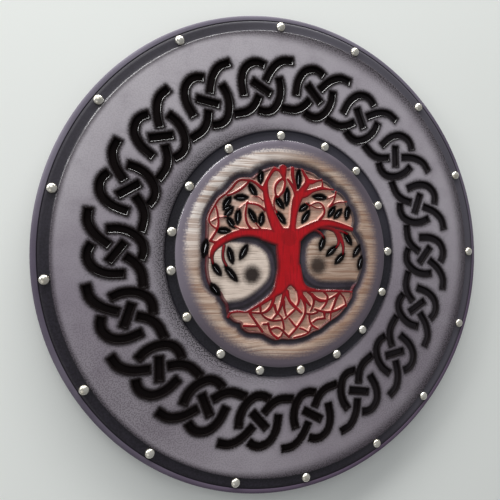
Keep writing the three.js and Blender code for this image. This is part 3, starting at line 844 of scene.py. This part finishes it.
def add_node(tree, kind, settings=None, values=None, output=0):
    """A node of any type as a wire of one of its outputs: its settings first, then its sockets."""
    made = tree.nodes.new(kind)
    for name, value in (settings or {}).items():
        setattr(made, name, value)
    for name, value in (values or {}).items():
        plug(tree, made.inputs[name], value)
    return Wire(tree, made.outputs[output])


def paint(red, green, blue):
    """A colour as seen on a screen, 0 to 255, turned to the linear values that a shader needs."""
    return tuple(
        (c / 255 / 12.92 if c / 255 <= 0.04045 else ((c / 255 + 0.055) / 1.055) ** 2.4)
        for c in (red, green, blue)
    ) + (1.0,)


def blend(tree, mask, under, over):
    """One colour laid over another through a mask."""
    return add_node(tree, "ShaderNodeMix", {"data_type": "RGBA"}, {0: mask, 6: under, 7: over}, output=2)


def noise(tree, place, scale, detail=3.0, roughness=0.55, stretch=None):
    """Smooth random values about 0.5, on places in millimetres."""
    if stretch:
        place = add_node(tree, "ShaderNodeMapping", None, {"Vector": place, "Scale": stretch})
    values = {"Vector": place, "Scale": scale, "Detail": detail, "Roughness": roughness}
    return add_node(tree, "ShaderNodeTexNoise", {"noise_dimensions": "3D"}, values)


def attribute(tree, name):
    """A number kept on the mesh."""
    return add_node(tree, "ShaderNodeAttribute", {"attribute_name": name}, None, output=2)


def new_material(name):
    """An empty node material: its tree and its main shader node."""
    made = bpy.data.materials.new(name)
    made.use_nodes = True
    shader = made.node_tree.nodes["Principled BSDF"]
    return made, made.node_tree, shader


# %% [markdown]
# Sprayed and lacquered wood
#
# The board's finish is built from the bottom up, in the maker's order: bare wood with its grain, grey
# and black sprayed over it, red brushed on the tree, and clear lacquer over everything.

# %% The board's material
board_material, tree, shader = new_material("sprayed_wood")
place = add_node(tree, "ShaderNodeTexCoord", None, None, output=3)
millimetres = add_node(tree, "ShaderNodeVectorMath", {"operation": "SCALE"}, {0: place, 3: 1 / MM})
split = add_node(tree, "ShaderNodeSeparateXYZ", None, {0: millimetres})
x, y, z = (Wire(tree, output) for output in split.socket.node.outputs)
radius = (x * x + y * y).math("SQRT")
knot = attribute(tree, "knot_gap")
red = attribute(tree, "red_gap")
leaf = attribute(tree, "leaf_gap")
facing = attribute(tree, "knot_facing")
leaf_side = attribute(tree, "leaf_across")
leaf_length = attribute(tree, "leaf_along")
rim = attribute(tree, "rim_gap")
outer = attribute(tree, "outer_gap")
hollow = attribute(tree, "hollow_gap")
face_side = z.between(FACE - 8, FACE - 6)
print(len(tree.nodes), "nodes read the surface")

# %% [markdown]
# Bare wood
#
# Softwood grain runs along the board in long streaks that wander a little. Noise stretched along x
# gives the streaks, and a slow noise added to y makes them wander. A Wave texture would repeat.

# %% Bare wood
wander = noise(tree, millimetres, 0.012, 2.0)
lift = add_node(tree, "ShaderNodeCombineXYZ", None, {"X": 0.0, "Y": wander * 12.0, "Z": 0.0})
grain_place = add_node(tree, "ShaderNodeVectorMath", {"operation": "ADD"}, {0: millimetres, 1: lift})
streaks = noise(tree, grain_place, 1.0, 5.0, 0.6, stretch=(0.012, 0.42, 0.42))
fine = noise(tree, grain_place, 1.0, 4.0, 0.65, stretch=(0.035, 1.3, 1.3))
broad = noise(tree, grain_place, 1.0, 2.0, 0.5, stretch=(0.006, 0.09, 0.09))
wood = blend(tree, streaks.between(0.38, 0.66), paint(212, 190, 172), paint(160, 128, 108))
wood = blend(tree, broad.between(0.45, 0.7) * 0.5, wood, paint(164, 130, 106))
print(len(tree.nodes), "nodes with the wood")

# %% [markdown]
# Sprayed grey and black
#
# The spray is a mauve grey in the open and a grainy black fog where it was held close. Painted light
# and shade lie over the grey: it is lightened at the upper left and near the bottom and darkened at the
# lower right, and other masks make it lighter towards the upper right and darker at the lower left.
# The fog is a soft ramp over the distance to the nearest groove. A fine noise added to the distance
# before the ramp breaks its edge into dots, which a blurred painted mask wouldn't do.

# %% Sprayed field
speckle = noise(tree, millimetres, 0.75, 0.0, 0.5)
mist = noise(tree, millimetres, 0.5, 3.0, 0.6)
patches = noise(tree, millimetres, 0.011, 3.0)
clouds = noise(tree, millimetres, 0.05, 4.0, 0.6)
# painted sheen: the grey is lightened towards the upper left, where the light falls
painted_sheen_top_left = (y * 0.8 - x * 0.6).between(95.0, 240.0)
# painted shade: the grey darkens towards the lower right; the same mask also thickens the spray's speckle
# there
shade_and_speckle_bottom_right = (x - y).between(60.0, 330.0)
left = (x * -1.0).between(-70.0, 110.0)
right = 1.0 - left
grey = blend(tree, patches.between(0.35, 0.68), paint(160, 154, 161), paint(142, 134, 143))
# painted sheen at the upper left
grey = blend(tree, painted_sheen_top_left * 0.7, grey, paint(196, 191, 195))
# painted shade at the lower right
grey = blend(tree, shade_and_speckle_bottom_right * 0.3, grey, paint(96, 86, 94))
lower_left = (x * -1.0).between(10.0, 150.0) * (y * -1.0).between(10.0, 150.0)
grey = blend(tree, lower_left * 0.35, grey, paint(100, 90, 96))
grey = blend(tree, (x * 0.8 + y).between(0.0, 260.0) * 0.45, grey, paint(184, 178, 184))
grey = blend(tree, clouds.between(0.45, 0.75) * 0.22, grey, paint(112, 103, 112))
grain_of_spray = speckle.between(0.5, 0.56)
grey = blend(tree, grain_of_spray * 0.14, grey, paint(84, 78, 84))
black = blend(tree, right * x.between(20.0, 180.0), paint(28, 23, 23), paint(54, 50, 53))
# painted shade: the black is darkened on the grooves' walls and worn edges, where the light would show them
painted_shade_groove_wall = knot.between(-1.3, -1.0) * knot.between(0.0, 0.5, 1.0, 0.0)
black = blend(tree, painted_shade_groove_wall * 0.8, black, paint(14, 10, 10))
spray_noise = (mist - 0.5) * 4.0 + (speckle - 0.5) * 5.0
halo = (knot + spray_noise).between(0.2, 7.0, 1.0, 0.0) ** 1.3
outer_halo = FIELD_OUTER - radius + spray_noise * (0.4 + right)
outer_halo = outer_halo.between(0.0, 6.0 + right * 12.0, 1.0, 0.0) ** 1.3
inner_halo = (radius - FIELD_INNER + spray_noise).between(0.0, 6.0 + left * 14.0, 1.0, 0.0) ** 1.1
field = blend(tree, (halo * 0.5).clamp(), grey, paint(46, 41, 43))
field = blend(tree, (outer_halo * 0.8).clamp(), field, paint(52, 43, 52))
halo_weight = (y * 0.4 - x).between(-20.0, 150.0) * 0.52 + 0.05
field = blend(tree, inner_halo * halo_weight, field, paint(34, 30, 33))
sprayed = (halo + inner_halo * left + outer_halo * 0.6).clamp()
speckled = (sprayed + shade_and_speckle_bottom_right * 0.25 + lower_left * 0.35 + outer_halo * right * 0.5).clamp()
field = blend(tree, grain_of_spray * speckled * 0.9, field, paint(26, 22, 24))
edge_spray = (radius - FIELD_INNER + spray_noise * 0.6).between(0.2, 3.2, 1.0, 0.0)
field = blend(tree, edge_spray * 0.75, field, paint(30, 27, 31))
# painted light: the grey is lightened near the bottom edge, where the lamps give less light
painted_light_bottom = y.between(-235.0, -150.0, 0.3, 0.0) * (1.0 - outer_halo)
field = blend(tree, painted_light_bottom, field, paint(172, 164, 170))
sprayed_near = (y * 0.5 - x).between(-120.0, 60.0)
painted = knot + (mist - 0.5) * 2.0 + (speckle - 0.5) * 3.2
painted = painted.between(0.2, 2.4 + sprayed_near * 2.2, 1.0, 0.0)
field = blend(tree, painted, field, black)
print(len(tree.nodes), "nodes with the field")

# %% [markdown]
# Sunk bands and shoulder
#
# The two sunk bands are nearly black and the rounded shoulder is a dark mauve. The radius alone picks
# each of them, so a ramp of half a millimetre at the border is all that parts one paint from the next.
# Painted sheen lightens the outer band, the shoulder and the inner channel where the light falls, and
# painted shade darkens the small cut between band and shoulder.

# %% Bands and shoulder paint
band_tone = blend(tree, mist.between(0.3, 0.7), paint(24, 20, 27), paint(40, 36, 45))
# painted sheen: the outer band is lighter at the upper left and near the bottom on the right
painted_band_sheen = (painted_sheen_top_left * 0.3 + right * y.between(-240.0, -150.0) * 0.9).clamp()
band_tone = blend(tree, painted_band_sheen * 0.6, band_tone, paint(102, 99, 108))
in_band = radius.between(FIELD_OUTER - 0.2, FIELD_OUTER + 0.3)
colour = blend(tree, in_band, field, band_tone)
shoulder_tone = blend(tree, patches.between(0.3, 0.65), paint(108, 101, 114), paint(86, 78, 92))
# painted light: the shoulder is lighter towards the top
painted_light_shoulder_top = (y * 0.9 - x * 0.3).between(20.0, 200.0)
shoulder_tone = blend(tree, painted_light_shoulder_top * 0.4, shoulder_tone, paint(132, 128, 140))
towards_foot = (x * 0.5 - y).between(60.0, 250.0)
shoulder_tone = blend(tree, towards_foot * 0.6, shoulder_tone, paint(108, 90, 112))
colour = blend(tree, radius.between(BAND_OUTER - 0.1, BAND_OUTER + 0.5), colour, shoulder_tone)
# painted shade: a dark line in the small cut between band and shoulder
painted_shade_cut_line = (radius - BAND_OUTER).math("ABSOLUTE").between(0.2, 0.9, 1.0, 0.0)
colour = blend(tree, painted_shade_cut_line * 0.8, colour, paint(20, 16, 22))
channel_tone = blend(tree, mist.between(0.3, 0.7), paint(22, 21, 26), paint(36, 34, 41))
# painted light: the inner channel is lighter towards the top
channel_tone = blend(tree, (x * 0.3 + y).between(0.0, 130.0) * 0.75, channel_tone, paint(66, 64, 74))
colour = blend(tree, radius.between(FIELD_INNER - 0.4, FIELD_INNER + 0.6, 1.0, 0.0), colour, channel_tone)
print(len(tree.nodes), "nodes with the bands")

# %% [markdown]
# Paint on the middle disc
#
# A sprayed ring fades into bare wood, and the moats round the tree are sprayed dark. Masks paint light
# and shade on it: the wood and the ring are lightened at the upper left and in the left hollow and
# darkened at the right, and a painted shade darkens the moats at the foot of the tree's walls.

# %% Middle disc paint
# painted light: the sprayed ring is lighter at the upper left
ring_tone = blend(tree, (y * 0.7 - x * 0.7).between(0.0, 90.0), paint(92, 83, 92), paint(128, 120, 131))
outside = outer.between(-0.15, 0.15)
in_hollow = hollow.between(-0.15, 0.15) * (1.0 - outside)
on_tree = (1.0 - outside) * (1.0 - in_hollow)
# painted light: the upper left of the disc, where the bare wood is lightened; this mask also moves the
# sprayed ring's fade outwards there
painted_light_wood_side = (y * 0.72 - x * 0.7).between(48.0, 104.0)
fade_place = radius + (mist - 0.5) * 9.0 + (fine - 0.5) * 8.0
fade = fade_place.between(100.5 + painted_light_wood_side * 8.0, 113.0)
# painted shade: the wood is darkened towards the right
painted_shade_wood_side = (x - y * 0.6).between(-10.0, 130.0)
# painted light: the wood is lightened towards the upper left
disc = blend(tree, painted_light_wood_side * 0.9, wood, paint(255, 246, 238))
disc = blend(tree, streaks.between(0.45, 0.56) * painted_light_wood_side * 0.7, disc, paint(166, 132, 110))
disc = blend(tree, painted_shade_wood_side * 0.45, disc, paint(132, 98, 78))
# painted light: the left part of the hollows is lightened
painted_light_hollow = in_hollow * x.between(-25.0, 0.0, 1.0, 0.0)
disc = blend(tree, painted_light_hollow * 0.6, disc, paint(252, 238, 224))
disc = blend(tree, fine.between(0.5, 0.68) * (0.55 - painted_light_wood_side * 0.2), disc, paint(112, 84, 66))
disc = blend(tree, fade, disc, ring_tone)
disc = blend(tree, on_tree * 0.35, disc, paint(218, 160, 136))
soft = (mist - 0.5) * 3.0 + (fine - 0.5) * 2.0
moat_tone = blend(tree, clouds.between(0.35, 0.65), paint(56, 49, 58), paint(76, 69, 80))
moat_mask = outside * (outer + soft).between(3.5, 10.5, 1.0, 0.0)
moat_mask = moat_mask + in_hollow * (hollow + soft).between(5.0, 11.5, 1.0, 0.0)
disc = blend(tree, moat_mask, disc, moat_tone)
# painted shade: the moats are darkest at the foot of the tree's outline and of the hollows' edges
near_edge = (outer + (mist - 0.5) * 1.5).between(0.2, 2.2 + y.between(-80.0, -30.0, 3.0, 0.0), 1.0, 0.0)
painted_moat_shade = outside * near_edge + in_hollow * hollow.between(0.3, 3.0, 1.0, 0.0)
disc = blend(tree, painted_moat_shade * 0.85, disc, paint(24, 19, 23))
print(len(tree.nodes), "nodes with the disc's wood and moats")

# %% [markdown]
# Soot round the leaves
#
# A brown haze lies round every leaf, and two soft brown blots sit in the hollows. The haze is a ramp
# over the distance to the nearest leaf, so all thirty-three leaves share one mask.

# %% Soot and blots
soot = (leaf + (mist - 0.5) * 2.5).between(0.4, 4.4 + in_hollow * 3.4, 1.0, 0.0)
disc = blend(tree, soot * 0.6, disc, paint(50, 36, 28))


def blot(centre_x, centre_y, reach):
    """A soft round spot of sprayed brown."""
    away = ((x - centre_x) * (x - centre_x) + (y - centre_y) * (y - centre_y)).math("SQRT")
    return (away + (mist - 0.5) * 4.0).between(reach * 0.4, reach * 1.15, 1.0, 0.0)


disc = blend(tree, blot(-39.5, -21.5, 12.5) * 0.98, disc, paint(34, 23, 19))
disc = blend(tree, blot(36, -13, 12.5) * 0.93, disc, paint(40, 28, 23))
print(len(tree.nodes), "nodes with the soot")

# %% [markdown]
# Red strands and black leaves
#
# The red is brushed on the raised strands and is darker at their edges. Pale wood shows beside them
# where the brush missed. The leaves are black, with a painted highlight: one thin white line along the
# keel stands in for the lacquer's glint.

# %% Red and black of the tree
bare_edge = red.between(-0.2, 0.2) * red.between(0.3, 2.8, 1.0, 0.0)
bare_edge = bare_edge * (1.0 - soot * 0.6) * on_tree * outer.between(-2.6, -1.4, 1.0, 0.0)
disc = blend(tree, bare_edge * 0.6, disc, paint(232, 166, 150))
red_tone = blend(tree, red.between(-3.6, -0.4), paint(182, 4, 18), paint(108, 2, 11))
red_tone = blend(tree, clouds.between(0.4, 0.7) * 0.35, red_tone, paint(206, 16, 38))
brush = noise(tree, millimetres, 1.0, 3.0, 0.6, stretch=(0.5, 0.05, 0.5))
red_tone = blend(tree, brush.between(0.45, 0.7) * 0.5, red_tone, paint(118, 2, 12))
knob = ((x - 2.0) * (x - 2.0) + (y - 16.5) * (y - 16.5)).math("SQRT").between(8.0, 9.5, 1.0, 0.0)
red_tone = blend(tree, knob * 0.35, red_tone, paint(128, 2, 12))
down_the_wall = (1.0 - on_tree) * 0.8
disc = blend(tree, (red - down_the_wall).between(-0.35, 0.1, 1.0, 0.0), disc, red_tone)
wall_shade = (1.0 - on_tree) * red.between(0.0, 0.3) * red.between(0.8, 1.4, 1.0, 0.0)
disc = blend(tree, wall_shade * 0.8, disc, paint(46, 4, 12))
rim_line = rim.between(0.6, 1.3, 1.0, 0.0) * red.between(-0.2, 0.3)
right_crown = x.between(25.0, 38.0) * y.between(-36.0, -30.0)
disc = blend(tree, rim_line * (1.0 - right_crown) * 0.85, disc, paint(84, 10, 24))
disc = blend(tree, rim_line * right_crown * 0.9, disc, paint(62, 52, 55))
leaf_paint = (leaf + (mist - 0.5) * 1.6).between(0.6, 2.9, 1.0, 0.0)
disc = blend(tree, leaf_paint * red.between(-0.6, 0.4), disc, paint(15, 12, 12))
# painted highlight: a thin white line along each leaf's keel, offset towards the wall that faces the light
keel_glint_end = leaf_length.math("ABSOLUTE").between(0.3, 0.62, 1.0, 0.0)
painted_keel_glint = (leaf_side - 0.35 + (clouds - 0.5) * 0.6).math("ABSOLUTE").between(0.05, 0.2, 1.0, 0.0)
painted_keel_glint = painted_keel_glint * keel_glint_end * leaf.between(-0.9, -0.5, 1.0, 0.0)
disc = blend(tree, painted_keel_glint, disc, paint(252, 252, 255))
colour = blend(tree, radius.between(MEDALLION_RADIUS - 0.2, MEDALLION_RADIUS + 0.5, 1.0, 0.0), colour, disc)
print(len(tree.nodes), "nodes with the tree")

# %% [markdown]
# The wall and the back
#
# The wall is mauve like the shoulder, and the back is bare board with some overspray at its rim. The
# photograph doesn't show the back, so it is kept plain.

# %% Wall and back paint
side_tone = blend(tree, patches.between(0.3, 0.7), paint(68, 62, 71), paint(51, 46, 54))
back_wood = blend(tree, streaks.between(0.3, 0.7), paint(188, 160, 130), paint(146, 112, 84))
back_wood = blend(tree, fine.between(0.5, 0.7) * 0.6, back_wood, paint(110, 82, 60))
overspray = (radius + (mist - 0.5) * 10.0).between(SHIELD_RADIUS - 14.0, SHIELD_RADIUS - 2.0)
back_tone = blend(tree, overspray, back_wood, side_tone)
lower = blend(tree, z.between(0.5, 1.5), back_tone, side_tone)
colour = blend(tree, face_side, lower, colour)
plug(tree, shader.inputs["Base Color"], colour)
print(len(tree.nodes), "nodes in all the colours")

# %% [markdown]
# Lacquer
#
# A clear coat on the worn edges gives the thin glints, and a fine bump carries the grain. The soaked
# black paint is mixed towards a second shader without any gloss, because one even gloss over
# everything turns black grooves grey.

# %% Lacquer
is_bare = radius.between(96.0, 112.0, 1.0, 0.0)
groove_floor = knot.between(-1.0, -0.6, 1.0, 0.0)
gloss = 0.44 - halo * 0.08 + (speckle - 0.5) * 0.12 + groove_floor * 0.3
gloss = gloss + is_bare * 0.05 - red.between(-0.3, 0.1, 1.0, 0.0) * 0.08 + leaf_paint * is_bare * 0.25
gloss = gloss + z.between(0.5, 2.0, 0.25, 0.0)
plug(tree, shader.inputs["Roughness"], gloss.math("MAXIMUM", 0.12))
groove_edge = knot.between(-0.85, -0.65) * knot.between(-0.1, 0.1, 1.0, 0.0) * facing.between(0.0, 0.5)
groove_edge = groove_edge * (y * 0.8 - x * 0.6).between(-20.0, 60.0, 0.04, 1.0)
groove_edge = groove_edge * y.between(-40.0, 25.0, 0.04, 1.0)
step_edge = (radius - FIELD_OUTER).math("ABSOLUTE").between(0.4, 0.8, 1.0, 0.0)
step_edge = step_edge + (radius - MEDALLION_RADIUS).math("ABSOLUTE").between(0.4, 0.8, 1.0, 0.0)
step_edge = step_edge * (1.0 - (radius.between(200.0, 210.0) * y.between(30.0, 110.0, 1.0, 0.0)))
strand_edge = red.math("ABSOLUTE").between(0.4, 0.9, 0.12, 0.0) * is_bare
thin_coat = radius.between(BAND_OUTER - 1.0, BAND_OUTER, 0.1, 0.0)
coat = (groove_edge + step_edge + strand_edge + painted_keel_glint * 0.5).clamp() + thin_coat
plug(tree, shader.inputs["Coat Weight"], coat)
shader.inputs["Coat Roughness"].default_value = 0.1
shader.inputs["Coat IOR"].default_value = 1.8
shader.inputs["Specular IOR Level"].default_value = 0.38
shader.inputs["IOR"].default_value = 1.46

grain_bump = (streaks * 0.5 + fine * 0.5) * (is_bare * 0.75 + 0.25)
height = grain_bump * 0.22 + speckle * 0.05 + mist * 0.06
bump = add_node(tree, "ShaderNodeBump", None, {"Strength": 0.5, "Distance": MM, "Height": height})
plug(tree, shader.inputs["Normal"], bump)
matt_values = {"Base Color": colour, "Normal": bump, "Roughness": 1.0, "Specular IOR Level": 0.0}
matt = add_node(tree, "ShaderNodeBsdfPrincipled", None, matt_values)
on_leaf = leaf_paint * (1.0 - painted_keel_glint) * is_bare
on_knot = painted * (1.0 - groove_edge) * (1.0 - is_bare)
on_step = (radius - FIELD_INNER).math("ABSOLUTE").between(0.8, 1.6, 1.0, 0.0)
on_step = on_step + radius.between(BAND_OUTER - 0.5, BAND_OUTER)
soaked = (on_leaf + on_knot + on_step * 0.75).clamp() * 0.92
glossy = Wire(tree, shader.outputs[0])
finish = add_node(tree, "ShaderNodeMixShader", None, {0: soaked, 1: glossy, 2: matt})
plug(tree, tree.nodes["Material Output"].inputs["Surface"], finish)
print(len(tree.nodes), "nodes in the board's material")

# %% Finish the board
board = mesh_object("carved_board", board_mesh, board_material)
for name, values in kept_measures.items():
    layer = board.data.attributes.new(name, "FLOAT", "POINT")
    layer.data.foreach_set("value", values.astype(np.float32))
for polygon in board.data.polygons:
    polygon.use_smooth = True
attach(board, "root")
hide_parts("board")
print(sum(len(p.vertices) - 2 for p in board.data.polygons), "triangles in the board")

# %% [markdown]
# Domed nails
#
# Thirty-two nickel-plated nails hold nothing here; they are the shield's ornament. Each head is a
# half profile spun about its axis, a low dome with a turned-in edge, and stands where its solid is.

# %% Nails
nail_material, tree, shader = new_material("nickel_plate")
place = add_node(tree, "ShaderNodeTexCoord", None, None, output=3)
scuffs = noise(tree, place, 900.0, 3.0)
tarnish = noise(tree, place, 160.0, 2.0)
nickel = blend(tree, tarnish.between(0.4, 0.75), paint(244, 240, 228), paint(218, 210, 190))
plug(tree, shader.inputs["Base Color"], nickel)
plug(tree, shader.inputs["Roughness"], 0.16 + scuffs * 0.16)
shader.inputs["Metallic"].default_value = 0.85
NAIL_SPIN_STEPS = 32
NAIL_ARC_STEPS = 9
HEAD_RADIUS = 4.75
HEAD_HEIGHT = 3.4
LIP = 0.35


def nail_head(name):
    """One domed head on the place of its CAD nail."""
    bottom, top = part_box(name)
    middle = (bottom + top) / 2 / MM
    seat = top.z / MM - HEAD_HEIGHT
    bm = bmesh.new()
    outline = [(0, 0), (HEAD_RADIUS - LIP, 0), (HEAD_RADIUS, LIP)]
    for turn in np.linspace(0.12, math.pi / 2, NAIL_ARC_STEPS):
        outline.append((HEAD_RADIUS * math.cos(turn), LIP + (HEAD_HEIGHT - LIP) * math.sin(turn)))
    outline[-1] = (0, HEAD_HEIGHT)
    verts = [bm.verts.new((radius, 0, height)) for radius, height in outline]
    edges = [bm.edges.new(pair) for pair in zip(verts[:-1], verts[1:])]
    bmesh.ops.spin(
        bm, geom=verts + edges, cent=(0, 0, 0), axis=(0, 0, 1), angle=2 * math.pi,
        steps=NAIL_SPIN_STEPS, use_merge=True,
    )
    bmesh.ops.remove_doubles(bm, verts=bm.verts, dist=0.001)
    bmesh.ops.translate(bm, verts=bm.verts, vec=(middle.x, middle.y, seat))
    head = mesh_object("domed_" + name, bm, nail_material)
    for polygon in head.data.polygons:
        polygon.use_smooth = True
    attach(head, "root")
    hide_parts(name)
    return head


nail_names = sorted(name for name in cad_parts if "nail" in name)
for name in nail_names:
    nail_head(name)
print(len(nail_names), "nails")

# %% [markdown]
# Floor, light and camera
#
# The shield lies on its back on a plain pale floor. The camera looks down on it from the left, as the
# photograph was taken. A long low strip beyond the top edge gives most of the light, and the worn
# edges that face it mirror it as thin bright lines, which a round lamp would break into spots. A
# broad lamp, a small strip at the left, a weak fill and a pale sky soften the shadows.

# %% Floor
floor_mesh = bmesh.new()
bmesh.ops.create_grid(floor_mesh, x_segments=2, y_segments=2, size=4000.0)
floor_material, tree, shader = new_material("pale_floor")
shader.inputs["Base Color"].default_value = paint(240, 243, 238)
shader.inputs["Roughness"].default_value = 0.7
floor = mesh_object("floor", floor_mesh, floor_material)
print("floor", round(floor.dimensions.x, 1), "m wide")

# %% Lights


def area_light(name, place, width, height, power):
    """A rectangular lamp that points at the middle of the shield."""
    lamp = bpy.data.lights.new(name, "AREA")
    lamp.shape = "RECTANGLE"
    lamp.size = width
    lamp.size_y = height
    lamp.energy = power
    made = bpy.data.objects.new(name, lamp)
    aim = (Vector((0, 0, FACE * MM)) - Vector(place)).to_track_quat("-Z", "Y")
    made.matrix_world = Matrix.Translation(place) @ aim.to_matrix().to_4x4()
    bpy.context.scene.collection.objects.link(made)


area_light("broad_light", (-0.6, 1.3, 1.6), 1.2, 1.2, 6.6)
area_light("key_strip", (-0.4, 2.9, 0.8), 5.0, 0.75, 160.0)
area_light("left_strip", (-2.4, 1.0, 0.7), 0.8, 0.6, 17.0)
area_light("fill_light", (-1.3, -1.0, 1.5), 1.4, 1.4, 3.0)
world = bpy.data.worlds.new("sky")
world.use_nodes = True
sky = world.node_tree.nodes["Background"]
sky.inputs["Color"].default_value = (0.93, 0.95, 1.0, 1.0)
sky.inputs["Strength"].default_value = 0.26
bpy.context.scene.world = world
bpy.context.scene.view_settings.view_transform = "Standard"
print(len(bpy.data.lights), "lamps and a sky")

# %% Camera
CAMERA_FROM_FACE = Vector((-215.4, -0.8, 490.3))
CAMERA_RIGHT = Vector((0.94269, -0.00316, 0.33364))
CAMERA_UP = Vector((0.0, 0.99996, 0.00946))
PHOTO_WIDTH = 500
FOCAL_PIXELS = 507.75
camera_data = bpy.data.cameras.new("camera")
camera_data.sensor_width = 36.0
camera_data.lens = camera_data.sensor_width * FOCAL_PIXELS / PHOTO_WIDTH
camera_data.clip_start = 0.01
camera = bpy.data.objects.new("camera", camera_data)
bpy.context.scene.collection.objects.link(camera)
right = CAMERA_RIGHT.normalized()
up = (CAMERA_UP - right * CAMERA_UP.dot(right)).normalized()
back = right.cross(up)
turn = Matrix((right, up, back)).transposed().to_4x4()
camera.matrix_world = Matrix.Translation((CAMERA_FROM_FACE + Vector((0, 0, FACE))) * MM) @ turn
bpy.context.scene.camera = camera
print("camera", round(CAMERA_FROM_FACE.length), "mm from the face, lens", round(camera_data.lens, 1), "mm")
